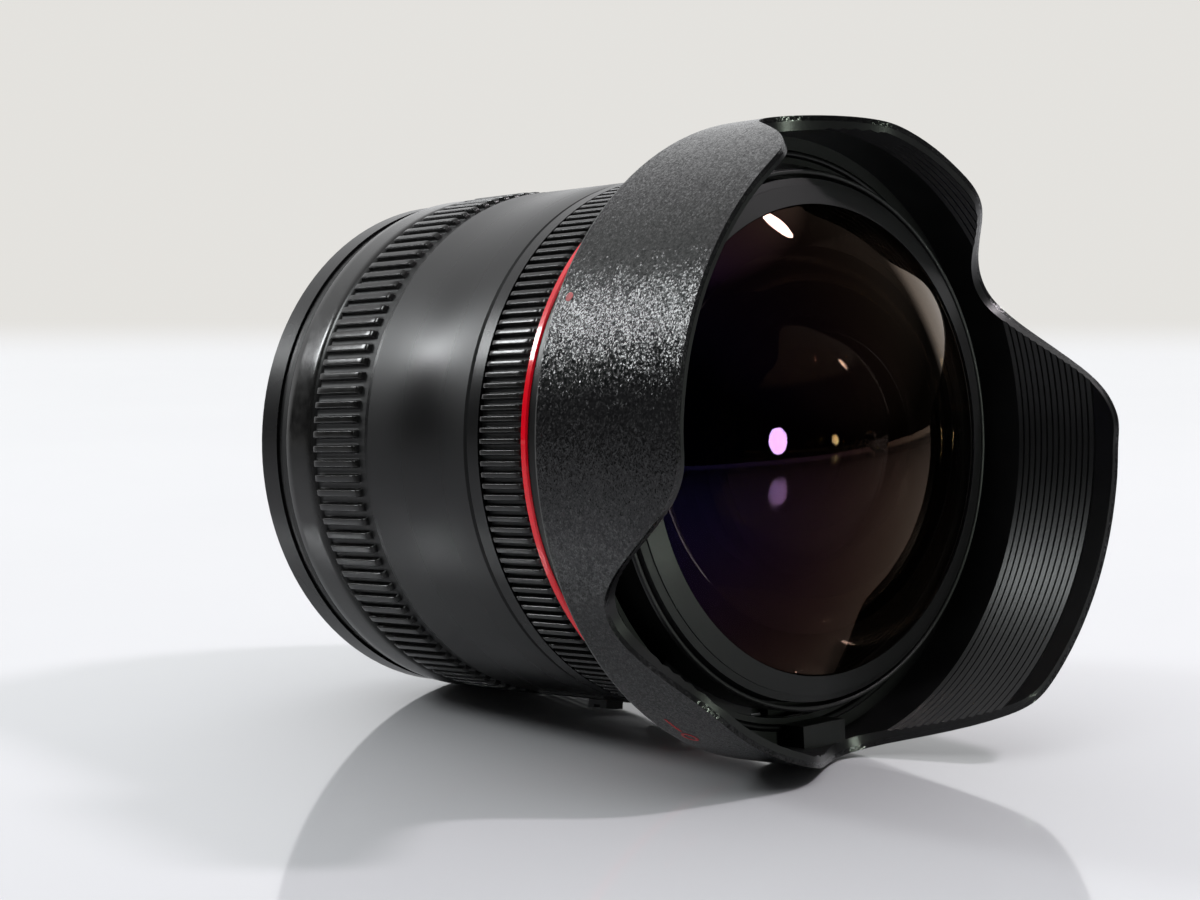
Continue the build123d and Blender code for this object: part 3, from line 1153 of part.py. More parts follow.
FIRST_CONTACT = BOTTOM - CONTACT_STEP * (CONTACT_COUNT - 1) / 2
CONTACT_CIRCLE = (CONTACT_INNER_RADIUS + BAFFLE_RADIUS) / 2
with BuildPart() as contact_block:
    block = sector(-SPIGOT_LENGTH, CONTACT_INNER_RADIUS, BAFFLE_RADIUS, BOTTOM, CONTACT_ARC)
    extrude(block, amount=SPIGOT_LENGTH + BAFFLE_X)
    for contact in range(CONTACT_COUNT):
        with BuildSketch(Plane.YZ.offset(-SPIGOT_LENGTH)):
            with PolarLocations(CONTACT_CIRCLE, 1, start_angle=FIRST_CONTACT + CONTACT_STEP * contact):
                Circle(CONTACT_RADIUS)
        extrude(amount=CONTACT_LENGTH, mode=Mode.SUBTRACT)
save(contact_block, "contact_block")

with BuildPart() as contact_pins:
    for contact in range(CONTACT_COUNT):
        with BuildSketch(Plane.YZ.offset(-SPIGOT_LENGTH - CONTACT_PROUD)):
            with PolarLocations(CONTACT_CIRCLE, 1, start_angle=FIRST_CONTACT + CONTACT_STEP * contact):
                Circle(CONTACT_RADIUS)
        extrude(amount=CONTACT_PROUD + CONTACT_LENGTH)
save(contact_pins, "contact_pins")

# Main board on the bulkhead, inside the guide tube
with BuildPart() as main_board:
    board = sector(BULKHEAD_END_X, BOARD_INNER_RADIUS, BOARD_OUTER_RADIUS, BOTTOM, BOARD_ARC)
    extrude(board, amount=BOARD_THICK)
    for chip in range(CHIPS):
        chip_angle = BOTTOM + CHIP_STEP * (chip - (CHIPS - 1) / 2)
        with BuildSketch(Plane.YZ.offset(BULKHEAD_END_X + BOARD_THICK)):
            with PolarLocations((BOARD_INNER_RADIUS + BOARD_OUTER_RADIUS) / 2, 1, start_angle=chip_angle):
                Rectangle(CHIP_SIZE, CHIP_SIZE)
        extrude(amount=CHIP_HEIGHT)
save(main_board, "main_board")
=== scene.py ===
# %% [markdown]
# # Dressing a wide-angle lens
# The lens lies on a glossy white table with its petal hood locked on. Its shapes come from CAD,
# already in place and in metres. This lesson gives each surface its finish, paints the small marks
# that CAD leaves out, and sets the camera, table and lamps so that the picture matches a photograph.

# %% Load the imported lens
import bpy
import bmesh
import math
from mathutils import Matrix, Vector


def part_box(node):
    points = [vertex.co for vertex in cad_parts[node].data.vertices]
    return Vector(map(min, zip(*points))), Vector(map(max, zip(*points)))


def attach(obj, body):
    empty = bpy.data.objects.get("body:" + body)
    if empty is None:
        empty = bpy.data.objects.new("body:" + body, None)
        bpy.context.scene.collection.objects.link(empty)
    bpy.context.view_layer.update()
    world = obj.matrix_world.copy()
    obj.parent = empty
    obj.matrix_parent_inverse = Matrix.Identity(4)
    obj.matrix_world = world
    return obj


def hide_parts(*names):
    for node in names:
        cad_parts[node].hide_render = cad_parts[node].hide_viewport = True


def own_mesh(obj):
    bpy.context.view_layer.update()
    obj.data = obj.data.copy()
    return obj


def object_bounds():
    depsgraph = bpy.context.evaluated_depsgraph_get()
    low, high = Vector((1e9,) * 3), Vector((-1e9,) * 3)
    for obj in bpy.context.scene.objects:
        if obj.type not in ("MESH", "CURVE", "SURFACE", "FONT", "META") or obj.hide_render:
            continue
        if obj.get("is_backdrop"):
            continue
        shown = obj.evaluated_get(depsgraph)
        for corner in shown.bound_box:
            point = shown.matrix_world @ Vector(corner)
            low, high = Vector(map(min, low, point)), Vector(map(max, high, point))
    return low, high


MM = 0.001
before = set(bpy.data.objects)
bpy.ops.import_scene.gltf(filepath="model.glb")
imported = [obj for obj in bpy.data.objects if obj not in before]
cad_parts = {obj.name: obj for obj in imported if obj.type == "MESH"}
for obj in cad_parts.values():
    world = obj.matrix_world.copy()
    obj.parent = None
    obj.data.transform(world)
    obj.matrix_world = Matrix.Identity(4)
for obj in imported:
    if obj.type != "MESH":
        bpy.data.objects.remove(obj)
cad_low, cad_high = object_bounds()
print("pieces:", len(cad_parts), "length in mm:", round((cad_high.x - cad_low.x) / MM, 1))

# %% [markdown]
# ## The camera
# A long lens took the photograph from the front left, a little above the table. Four vectors are
# enough: where the camera stands, and its right, up and back directions. They go straight into the
# camera's matrix, which avoids the guesswork of turning it by three angles.

# %% Place the camera
CAMERA_PLACE = (0.3194, -0.2560, 0.0189)
SENSOR_WIDTH, FOCAL_LENGTH = 36.0, 74.25
camera_right = Vector((0.6748, 0.7353, -0.0632)).normalized()
camera_back = Vector((0.7380, -0.6727, 0.0529))
camera_back = (camera_back - camera_back.dot(camera_right) * camera_right).normalized()
camera_up = camera_back.cross(camera_right)
camera_data = bpy.data.cameras.new("photo_camera")
camera_data.sensor_width = SENSOR_WIDTH
camera_data.lens = FOCAL_LENGTH
camera_data.clip_start = 0.01
camera_data.clip_end = 20.0
camera = bpy.data.objects.new("photo_camera", camera_data)
bpy.context.scene.collection.objects.link(camera)
turn = Matrix((camera_right, camera_up, camera_back)).transposed().to_4x4()
camera.matrix_world = Matrix.Translation(CAMERA_PLACE) @ turn
bpy.context.scene.camera = camera
bpy.context.scene.view_settings.view_transform = "Standard"
print("camera is", round(camera.matrix_world.translation.length / MM), "mm from the mount")

# %% [markdown]
# ## A short way to write node trees
# Every finish below is a small tree of nodes. Two helpers keep the trees readable: one adds a node
# and fills in its settings and inputs, and the other starts a material that has a main shader and
# coordinates fixed to the piece, so a pattern moves with it. An input is given by its name, or by
# its number after an underscore where several inputs share a name.

# %% Helpers for node trees
def add(tree, kind, settings=None, **inputs):
    node = tree.nodes.new("ShaderNode" + kind)
    for name, value in (settings or {}).items():
        setattr(node, name, value)
    for name, value in inputs.items():
        number = name[1:]
        socket = node.inputs[int(number) if number.isdigit() else name.replace("_", " ")]
        if isinstance(value, bpy.types.NodeSocket):
            tree.links.new(value, socket)
        else:
            socket.default_value = value
    return node


def start_finish(name, roughness, metallic=0.0):
    material = bpy.data.materials.new(name)
    material.use_nodes = True
    tree = material.node_tree
    tree.nodes.clear()
    shader = add(tree, "BsdfPrincipled", Roughness=roughness, Metallic=metallic)
    output = add(tree, "OutputMaterial")
    tree.links.new(shader.outputs[0], output.inputs["Surface"])
    place = add(tree, "TexCoord").outputs["Object"]
    return material, tree, shader, place

# %% [markdown]
# ## What most surfaces share
# Paint, anodising and moulded plastic are never one flat tone. Soft clouds of colour, a gloss that
# varies from spot to spot, and a fine bump for grain are each one noise texture. The sizes are in
# millimetres, because grain that is too large makes a small part look like a toy. Settled dust is
# the fourth: the smallest cells of a Voronoi texture, each shrunk to a speck.

# %% Helpers for colour clouds, uneven gloss, grain and dust
CLOUD_EDGES = (0.35, 0.65)
DUST_COLOUR = (0.16, 0.155, 0.145, 1)
DUST_SHARE = 0.5


def clouds(tree, shader, place, dark, light, size):
    noise = add(tree, "TexNoise", Vector=place, Scale=1 / (size * MM), Detail=4.0)
    ramp = add(tree, "ValToRGB", Fac=noise.outputs["Fac"])
    for stop, position, tone in zip(ramp.color_ramp.elements, CLOUD_EDGES, (dark, light)):
        stop.position = position
        stop.color = (*tone, 1)
    tree.links.new(ramp.outputs["Color"], shader.inputs["Base Color"])


def uneven_gloss(tree, shader, place, low, high, size):
    noise = add(tree, "TexNoise", Vector=place, Scale=1 / (size * MM), Detail=3.0)
    gloss = add(tree, "MapRange", Value=noise.outputs["Fac"], _3=low, _4=high)
    tree.links.new(gloss.outputs[0], shader.inputs["Roughness"])


def grain(tree, shader, place, size, depth, strength=1.0):
    noise = add(tree, "TexNoise", Vector=place, Scale=1 / (size * MM), Detail=2.0)
    bump = add(tree, "Bump", Height=noise.outputs["Fac"], Distance=depth * MM, Strength=strength)
    tree.links.new(bump.outputs[0], shader.inputs["Normal"])


def dust(tree, shader, place, spacing, size):
    """Pale specks a given distance apart, laid over whatever the base colour is."""
    cells = add(tree, "TexVoronoi", Vector=place, Scale=1 / (spacing * MM))
    speck = add(tree, "Math", {"operation": "LESS_THAN"}, _0=cells.outputs["Distance"],
                _1=size / spacing)
    chosen = add(tree, "SeparateXYZ", Vector=cells.outputs["Color"])
    some = add(tree, "Math", {"operation": "GREATER_THAN"}, _0=chosen.outputs["X"], _1=DUST_SHARE)
    both = add(tree, "Math", {"operation": "MULTIPLY"}, _0=speck.outputs[0], _1=some.outputs[0])
    below = shader.inputs["Base Color"].links[0].from_socket
    mix = add(tree, "Mix", {"data_type": "RGBA"}, _0=both.outputs[0], _6=below, _7=DUST_COLOUR)
    tree.links.new(mix.outputs[2], shader.inputs["Base Color"])

# %% [markdown]
# ## Painted and anodised metal
# The barrels are metal under a black coat, so they are written as paint: not metallic, with a
# satin gloss. The middle barrel is the smoothest and shows one soft highlight. The others differ
# only in gloss and in the size of their grain, so a table of values makes them all. The clouds are
# a trace bluer than grey.

# %% Make the black coats
finishes = {}
# name: (darkest tone, lightest tone, least and most roughness, grain size and depth in mm)
BLACK_COATS = {
    "barrel_black": (0.003, 0.0045, 0.24, 0.29, 0.30, 0.003),
    "barrel_satin": (0.0035, 0.0045, 0.22, 0.24, 0.22, 0.0006),
    "ring_black": (0.003, 0.0045, 0.24, 0.30, 0.25, 0.003),
    "collar_black": (0.004, 0.006, 0.26, 0.32, 0.25, 0.002),
    "anodised_black": (0.016, 0.026, 0.38, 0.50, 0.18, 0.006),
    "carrier_black": (0.010, 0.016, 0.50, 0.62, 0.20, 0.008),
    "iris_plate": (0.012, 0.020, 0.50, 0.60, 0.15, 0.005),
    "retainer_black": (0.006, 0.010, 0.55, 0.66, 0.20, 0.008),
    "scale_black": (0.006, 0.010, 0.60, 0.70, 0.20, 0.005),
}
COAT_SPECULAR = 0.26
COAT_CLOUD, COAT_GLOSS_PATCH = 6.0, 14.0
BLUER_DARK, BLUER_LIGHT = 1.05, 1.06
for name, (dark, light, low, high, size, depth) in BLACK_COATS.items():
    material, tree, shader, place = start_finish(name, low)
    clouds(tree, shader, place, (dark, dark, dark * BLUER_DARK), (light, light, light * BLUER_LIGHT),
           COAT_CLOUD)
    uneven_gloss(tree, shader, place, low, high, COAT_GLOSS_PATCH)
    shader.inputs["Specular IOR Level"].default_value = COAT_SPECULAR
    grain(tree, shader, place, size, depth)
    finishes[name] = material
print("black coats:", len(BLACK_COATS))

# %% [markdown]
# ## A gloss that stretches round the barrel
# On the satin barrel the lamp's reflection is a round, soft spot. An even gloss would draw it into a
# long bar, because a cylinder is straight one way and curved the other. Two things even it out: a
# gloss that is rougher round the barrel than along it, and a middle that hands have polished, with
# duller ends. The tangent says which way is round.

# %% Stretch the satin gloss and polish the middle
BARREL_MIDDLE = 43.5
POLISHED_HALF = 11
DULLER_BY = 0.12
STRETCH = 0.4
satin = finishes["barrel_satin"].node_tree
satin_shader = satin.nodes["Principled BSDF"]
round_the_barrel = add(satin, "Tangent", {"direction_type": "RADIAL", "axis": "X"})
satin.links.new(round_the_barrel.outputs[0], satin_shader.inputs["Tangent"])
satin_shader.inputs["Anisotropic"].default_value = STRETCH
along = add(satin, "SeparateXYZ", Vector=add(satin, "TexCoord").outputs["Object"])
from_middle = add(satin, "Math", {"operation": "SUBTRACT"}, _0=along.outputs["X"],
                  _1=BARREL_MIDDLE * MM)
off_middle = add(satin, "Math", {"operation": "ABSOLUTE"}, _0=from_middle.outputs[0])
duller = add(satin, "MapRange", {"interpolation_type": "SMOOTHSTEP"}, Value=off_middle.outputs[0],
             _1=0.0, _2=POLISHED_HALF * MM, _3=0.0, _4=DULLER_BY)
even_gloss = satin_shader.inputs["Roughness"].links[0].from_socket
polished = add(satin, "Math", {"operation": "ADD"}, _0=even_gloss, _1=duller.outputs[0])
satin.links.new(polished.outputs[0], satin_shader.inputs["Roughness"])
print("the satin barrel's ends are duller by", DULLER_BY)

# %% [markdown]
# ## Moulded plastic
# The contact block, switches and baffle are moulded, with a spark-eroded grain that is coarser than
# paint. A Voronoi texture has the rounded cells of that grain.

# %% Make the small plastic parts' finishes
# name: (darkest tone, lightest tone, roughness)
PLASTICS = {
    "contact_plastic": (0.012, 0.020, 0.45),
    "holder_black": (0.016, 0.024, 0.45),
    "panel_black": (0.012, 0.018, 0.38),
    "switch_black": (0.016, 0.026, 0.42),
    "baffle_black": (0.004, 0.008, 0.80),
}
PLASTIC_CLOUD = 2.5
ERODED_SIZE, ERODED_DEPTH = 0.28, 0.015
for name, (dark, light, gloss) in PLASTICS.items():
    material, tree, shader, place = start_finish(name, gloss)
    clouds(tree, shader, place, (dark,) * 3, (light,) * 3, PLASTIC_CLOUD)
    cells = add(tree, "TexVoronoi", Vector=place, Scale=1 / (ERODED_SIZE * MM))
    bump = add(tree, "Bump", Height=cells.outputs["Distance"], Distance=ERODED_DEPTH * MM,
               Strength=0.6)
    tree.links.new(bump.outputs[0], shader.inputs["Normal"])
    finishes[name] = material
print("plastics:", len(PLASTICS))

# %% [markdown]
# ## The hood's facets
# The hood is the nearest and largest piece. Outside it has a coarse grain that breaks the lamp's
# reflection into bright and dark specks. A Voronoi texture gives each speck its own random colour,
# and that colour, added to the surface's normal, leans each speck its own way like a facet. Inside,
# the hood is smooth, and the distance from the lens's axis tells the two sides apart.

# %% Helpers for the hood's grain
HOOD_OUTSIDE = 44.75
FACETS = ((0.20, 0.21), (0.40, 0.10))


def radius_from_axis(tree, place):
    across = add(tree, "VectorMath", {"operation": "MULTIPLY"}, _0=place, _1=(0.0, 1.0, 1.0))
    return add(tree, "VectorMath", {"operation": "LENGTH"}, _0=across.outputs[0]).outputs["Value"]


def facet_normals(tree, place, outside):
    """FACETS holds (size in mm, lean) of each layer of specks. They fade out inside the hood."""
    lean_so_far = None
    for size, lean in FACETS:
        facets = add(tree, "TexVoronoi", Vector=place, Scale=1 / (size * MM))
        centred = add(tree, "VectorMath", {"operation": "SUBTRACT"}, _0=facets.outputs["Color"],
                      _1=(0.5, 0.5, 0.5))
        leaning = add(tree, "VectorMath", {"operation": "SCALE"}, _0=centred.outputs[0], Scale=lean)
        if lean_so_far is not None:
            leaning = add(tree, "VectorMath", _0=lean_so_far.outputs[0], _1=leaning.outputs[0])
        lean_so_far = leaning
    on_outside = add(tree, "VectorMath", {"operation": "SCALE"}, _0=lean_so_far.outputs[0],
                     Scale=outside)
    straight = add(tree, "NewGeometry")
    leant = add(tree, "VectorMath", _0=straight.outputs["Normal"], _1=on_outside.outputs[0])
    return add(tree, "VectorMath", {"operation": "NORMALIZE"}, _0=leant.outputs[0]).outputs[0]

# %% [markdown]
# ## A painted highlight on the rear edge
# Where the hood's rear edge turns the corner, its bevel catches the light, and a paler tone painted
# there stands for that highlight. The distance of a point from that edge, along the axis, says how
# much of the paler tone it gets.

# %% Helper for the painted edge highlight
# where the painted highlight on the rear edge is full and where it ends, in mm, and its paler tone
HOOD_REAR_EDGE = 75.75
EDGE_HIGHLIGHT_FULL, EDGE_HIGHLIGHT_NONE = 0.10, 0.22
EDGE_HIGHLIGHT_TONE = (0.085, 0.085, 0.083, 1)


# Paints a paler tone along the hood's rear edge as a painted highlight where its bevel catches the
# light.
def paint_rear_edge_highlight(tree, shader, place, outside):
    along = add(tree, "SeparateXYZ", Vector=place)
    off_edge = add(tree, "Math", {"operation": "SUBTRACT"}, _0=along.outputs["X"],
                   _1=HOOD_REAR_EDGE * MM)
    near_edge = add(tree, "Math", {"operation": "ABSOLUTE"}, _0=off_edge.outputs[0])
    on_edge = add(tree, "MapRange", Value=near_edge.outputs[0], _1=EDGE_HIGHLIGHT_FULL * MM,
                  _2=EDGE_HIGHLIGHT_NONE * MM, _3=1.0, _4=0.0)
    outer_edge = add(tree, "Math", {"operation": "MULTIPLY"}, _0=on_edge.outputs[0], _1=outside)
    highlight_and_polish = add(tree, "Mix", {"data_type": "RGBA"}, _0=outer_edge.outputs[0],
                 _6=shader.inputs["Base Color"].links[0].from_socket, _7=EDGE_HIGHLIGHT_TONE)
    tree.links.new(highlight_and_polish.outputs[2], shader.inputs["Base Color"])

# %% [markdown]
# ## The hood and its button
# The hood takes the facets, the painted highlight on its rear edge, a trace of dust and a gloss that
# is lower inside. The release button in its wall is the same black, but plain and matte, so it sits
# back in the shade.

# %% Make the hood's and the button's finishes
HOOD_INSIDE_GLOSS = 0.34
HOOD_GLOSS = (0.17, 0.23)
HOOD_BUMP_SIZE, HOOD_BUMP_DEPTH = 0.35, 0.012
material, tree, shader, place = start_finish("hood_black", 0.40)
shader.inputs["Specular IOR Level"].default_value = 0.28
clouds(tree, shader, place, (0.004, 0.004, 0.0044), (0.007, 0.007, 0.0074), 7.0)
radius = radius_from_axis(tree, place)
outside = add(tree, "MapRange", Value=radius, _1=(HOOD_OUTSIDE - 0.2) * MM,
              _2=HOOD_OUTSIDE * MM).outputs[0]
coarse = add(tree, "TexNoise", Vector=place, Scale=1 / (HOOD_BUMP_SIZE * MM), Detail=2.0,
             Roughness=0.6)
bump = add(tree, "Bump", Height=coarse.outputs["Fac"], Distance=HOOD_BUMP_DEPTH * MM,
           Strength=1.0, Normal=facet_normals(tree, place, outside))
tree.links.new(bump.outputs[0], shader.inputs["Normal"])
gloss = add(tree, "MapRange", Value=coarse.outputs["Fac"], _1=0.3, _2=0.7,
            _3=HOOD_GLOSS[0], _4=HOOD_GLOSS[1])
matte = add(tree, "Mix", {"data_type": "FLOAT"}, _0=outside, _2=HOOD_INSIDE_GLOSS,
            _3=gloss.outputs[0])
tree.links.new(matte.outputs[0], shader.inputs["Roughness"])
dust(tree, shader, place, 6.0, 0.07)
# painted highlight: a paler tone along the hood's rear edge
paint_rear_edge_highlight(tree, shader, place, outside)
finishes["hood_black"] = material

material, tree, shader, place = start_finish("button_black", 0.7)
shader.inputs["Specular IOR Level"].default_value = 0.12
clouds(tree, shader, place, (0.0055, 0.0055, 0.0058), (0.008, 0.008, 0.0083), 2.0)
grain(tree, shader, place, 0.3, 0.02)
finishes["button_black"] = material
print("hood grain starts at radius", HOOD_OUTSIDE, "mm")

# %% [markdown]
# ## Rubber
# The two grips are synthetic rubber. It is matte, and the tops of the ribs are glossier where hands
# have polished them, and painted a little paler as a painted highlight. How far out a point lies
# tells the tops from the grooves, and noise breaks it up so that no two ribs are alike.

# %% Make the rubber finishes
# the grooves' tone, and the paler tone of the rib tops, which is a painted highlight
RUBBER_GROOVE_AND_HIGHLIGHT_TONES = ((0.004, 0.004, 0.004, 1), (0.017, 0.0165, 0.0155, 1))
GROOVE_GLOSS, TOP_GLOSS, PATCHY_BY = 0.46, 0.15, 0.07
RUBBER_PATCH = 1.4
RIB_FOOT, GRIP_TIP, SEAL_TIP = 38.3, 39.05, 39.3


def rubber_finish(name, root, tip):
    """root and tip are the radii in mm at which the polish and the painted highlight start and are
    full.
    """
    material, tree, shader, place = start_finish(name, 0.55)
    radius = radius_from_axis(tree, place)
    toward_tops = add(tree, "MapRange", Value=radius, _1=root * MM, _2=tip * MM)
    patches = add(tree, "TexNoise", Vector=place, Scale=1 / (RUBBER_PATCH * MM), Detail=4.0)
    amount = add(tree, "Math", {"operation": "MULTIPLY"}, _0=toward_tops.outputs[0],
                 _1=patches.outputs["Fac"])
    # painted highlight: the rib tops are painted paler than the grooves, in patches
    ramp = add(tree, "ValToRGB", Fac=amount.outputs[0])
    for stop, tone in zip(ramp.color_ramp.elements, RUBBER_GROOVE_AND_HIGHLIGHT_TONES):
        stop.color = tone
    tree.links.new(ramp.outputs["Color"], shader.inputs["Base Color"])
    uneven = add(tree, "MapRange", Value=patches.outputs["Fac"], _1=0.3, _2=0.7, _3=0.0,
                 _4=PATCHY_BY)
    highlight_and_polish = add(tree, "MapRange", Value=toward_tops.outputs[0], _3=GROOVE_GLOSS, _4=TOP_GLOSS)
    gloss = add(tree, "Math", _0=uneven.outputs[0], _1=highlight_and_polish.outputs[0])
    tree.links.new(gloss.outputs[0], shader.inputs["Roughness"])
    shader.inputs["Specular IOR Level"].default_value = 0.32
    grain(tree, shader, place, 0.16, 0.003, 0.8)
    dust(tree, shader, place, 5.0, 0.08)
    return material


# the paler rib tops on both grips are a painted highlight
finishes["grip_rubber"] = rubber_finish("grip_rubber", RIB_FOOT, GRIP_TIP)
finishes["seal_rubber"] = rubber_finish("seal_rubber", RIB_FOOT, SEAL_TIP)
print("the grips' wear starts at radius", RIB_FOOT, "mm and is full at", GRIP_TIP)

# %% [markdown]
# ## Bright metal
# The mount is turned and plated steel, with rings that the lathe left. A wave texture set to rings
# about the X axis makes them. Brass, gold and the motor's steel take the same tree with their own
# colours. The wave texture repeats every 0.314 units at scale 1, which its scale allows for.

# %% Make the bright metals
# name: (colour, roughness, distance and depth of the lathe's rings in mm)
METALS = {
    "mount_steel": ((0.62, 0.62, 0.63), 0.20, 0.30, 0.0025),
    "screw_steel": ((0.55, 0.55, 0.57), 0.24, 0.20, 0.0020),
    "motor_steel": ((0.42, 0.42, 0.43), 0.34, 0.40, 0.0030),
    "rotor_aluminium": ((0.60, 0.60, 0.62), 0.32, 0.35, 0.0030),
    "spring_steel": ((0.60, 0.60, 0.61), 0.25, 0.30, 0.0015),
    "key_brass": ((0.62, 0.46, 0.20), 0.30, 0.35, 0.0025),
    "roller_brass": ((0.65, 0.49, 0.22), 0.26, 0.30, 0.0025),
    "contact_gold": ((0.83, 0.60, 0.24), 0.18, 0.30, 0.0010),
}
WAVE_REPEAT = 0.314
DULL_SHARE = 0.82
for name, (colour, gloss, pitch, depth) in METALS.items():
    material, tree, shader, place = start_finish(name, gloss, 1.0)
    dull = tuple(DULL_SHARE * channel for channel in colour)
    clouds(tree, shader, place, dull, colour, 5.0)
    uneven_gloss(tree, shader, place, gloss * 0.8, gloss * 1.3, 2.0)
    rings = add(tree, "TexWave", {"wave_type": "RINGS", "rings_direction": "X"}, Vector=place,
                Scale=WAVE_REPEAT / (pitch * MM), Distortion=0.4, Detail=1.0)
    bump = add(tree, "Bump", Height=rings.outputs["Fac"], Distance=depth * MM, Strength=0.5)
    tree.links.new(bump.outputs[0], shader.inputs["Normal"])
    finishes[name] = material
print("bright metals:", len(METALS))

# %% [markdown]
# ## The red ring and the grey bezel
# The ring is glossy lacquer over a turned ring: a coat over a strong red. The bezel that holds the
# front glass is satin dark grey paint, the palest of the dark parts round the glass.

# %% Make the lacquer and the bezel's paint
RED_DARK, RED_LIGHT = (0.92, 0.002, 0.016), (0.98, 0.004, 0.022)
material, tree, shader, place = start_finish("red_gloss", 0.22)
clouds(tree, shader, place, RED_DARK, RED_LIGHT, 9.0)
grain(tree, shader, place, 1.2, 0.003)
shader.inputs["Specular IOR Level"].default_value = 0.10
shader.inputs["Coat Weight"].default_value = 0.7
shader.inputs["Coat Roughness"].default_value = 0.05
finishes["red_gloss"] = material

BEZEL_DARK, BEZEL_LIGHT = (0.014, 0.014, 0.0143), (0.017, 0.017, 0.0173)
material, tree, shader, place = start_finish("bezel_grey", 0.45)
clouds(tree, shader, place, BEZEL_DARK, BEZEL_LIGHT, 8.0)
uneven_gloss(tree, shader, place, 0.42, 0.50, 9.0)
shader.inputs["Specular IOR Level"].default_value = 0.22
grain(tree, shader, place, 0.2, 0.004)
finishes["bezel_grey"] = material
print("lacquer and bezel paint made")

# %% [markdown]
# ## Coated glass
# Bare glass mirrors about 4% of the light. A coating a tenth of a micrometre thick cancels most
# of that and leaves purple, which turns to amber at low angles. The main shader can work this out
# from the coating's thickness and index, so no colour is painted on. So many coated surfaces
# in a black barrel let little light back out, and a dark tint in the glass stands for that.

# %% Make the glass
# name: (tint, index of the glass, thickness of the coating in nm, index of the coating)
GLASS = {
    "front_glass": ((0.11, 0.092, 0.088), 1.62, 107.0, 1.34),
    "lens_glass": ((0.40, 0.54, 0.44), 1.60, 104.0, 1.33),
    "window_clear": ((0.93, 0.94, 0.94), 1.49, 0.0, 1.33),
}
for name, (tint, index, coating, coating_index) in GLASS.items():
    material, tree, shader, place = start_finish(name, 0.0)
    clouds(tree, shader, place, tuple(0.97 * channel for channel in tint), tint, 20.0)
    shader.inputs["Transmission Weight"].default_value = 1.0
    shader.inputs["IOR"].default_value = index
    shader.inputs["Thin Film Thickness"].default_value = coating
    shader.inputs["Thin Film IOR"].default_value = coating_index
    finishes[name] = material
print("coating thickness in nm:", GLASS["front_glass"][2])

# %% [markdown]
# ## Iris blades and the circuit board
# The blades are thin blackened steel, brushed along their length. The board is green solder mask
# with paler tracks. A brick texture gives the tracks their square corners, and the chips, which stand
# higher than the board, are told apart by where they are along the axis.

# %% Make the blade and board finishes
BLADE_TONES = ((0.010, 0.010, 0.011, 1), (0.035, 0.035, 0.037, 1))
material, tree, shader, place = start_finish("blade_black", 0.42, 0.6)
stretched = add(tree, "Mapping", Vector=place, Scale=(1.0, 1.0, 9.0))
noise = add(tree, "TexNoise", Vector=stretched.outputs[0], Scale=1 / (2.0 * MM), Detail=5.0)
ramp = add(tree, "ValToRGB", Fac=noise.outputs["Fac"])
for stop, tone in zip(ramp.color_ramp.elements, BLADE_TONES):
    stop.color = tone
tree.links.new(ramp.outputs["Color"], shader.inputs["Base Color"])
finishes["blade_black"] = material

BOARD_THICKNESS = 0.85
BOARD_GREEN, BOARD_SHADE = (0.010, 0.085, 0.040, 1), (0.008, 0.070, 0.034, 1)
TRACK_GREEN = (0.030, 0.150, 0.075, 1)
CHIP_BLACK = (0.012, 0.012, 0.012, 1)
board_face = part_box("main_board")[0].x / MM + BOARD_THICKNESS
material, tree, shader, place = start_finish("board_green", 0.35)
tracks = add(tree, "TexBrick", {"offset": 0.5}, Vector=place, Color1=BOARD_GREEN,
             Color2=BOARD_SHADE, Mortar=TRACK_GREEN, Scale=1 / (6.0 * MM), Mortar_Size=0.06)
height = add(tree, "SeparateXYZ", Vector=place)
chip = add(tree, "MapRange", Value=height.outputs["X"], _1=board_face * MM,
           _2=(board_face + 0.05) * MM)
mix = add(tree, "Mix", {"data_type": "RGBA"}, _0=chip.outputs[0], _6=tracks.outputs["Color"],
          _7=CHIP_BLACK)
tree.links.new(mix.outputs[2], shader.inputs["Base Color"])
grain(tree, shader, place, 0.3, 0.006)
finishes["board_green"] = material
print("the board's face is at x", round(board_face, 2), "mm")

# %% [markdown]
# ## Put each finish on its pieces
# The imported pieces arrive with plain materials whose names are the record's finishes. Swapping each
# for the tree of the same name dresses all of them, and nothing about their shapes changes.

# %% Dress the CAD pieces
dressed = 0
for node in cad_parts.values():
    for holder in node.material_slots:
        plain = holder.material.name.split(".")[0]
        holder.material = finishes[plain]
        dressed += 1
print("dressed", dressed, "pieces with", len(finishes), "finishes")

# %% [markdown]
# ## From points to a piece
# Every shape below is computed, not modelled by hand. Each ends the same way: the mesh becomes an
# object in the scene, wears a material, and rides the body that carries it. Round shapes are shaded
# smooth, and edges sharper than a given angle stay crisp.

# %% Helpers that finish a piece
CRISP_ANGLE = math.radians(50)


def make_piece(name, data, body, material):
    data.materials.append(material)
    piece = bpy.data.objects.new(name, data)
    bpy.context.scene.collection.objects.link(piece)
    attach(piece, body)
    return piece


def shade_smooth(data, keep_edges=True):
    for face in data.polygons:
        face.use_smooth = True
    if keep_edges:
        data.set_sharp_from_angle(angle=CRISP_ANGLE)


def mesh_from(builder, name):
    """Turn a finished bmesh into mesh data, with its faces all pointing outwards."""
    bmesh.ops.recalc_face_normals(builder, faces=builder.faces)
    data = bpy.data.meshes.new(name)
    builder.to_mesh(data)
    builder.free()
    return data

# %% [markdown]
# ## Rubber ribs with rounded tops
# Rubber can't be moulded with sharp edges: each rib has a round top, leaning sides and a soft run-out
# at both ends. Those are a formula, not modelling by hand. A rib's height is one profile around
# the ring times another along it, and the sleeve is a grid of points at that height. The two
# sleeves replace the plainer CAD ones.

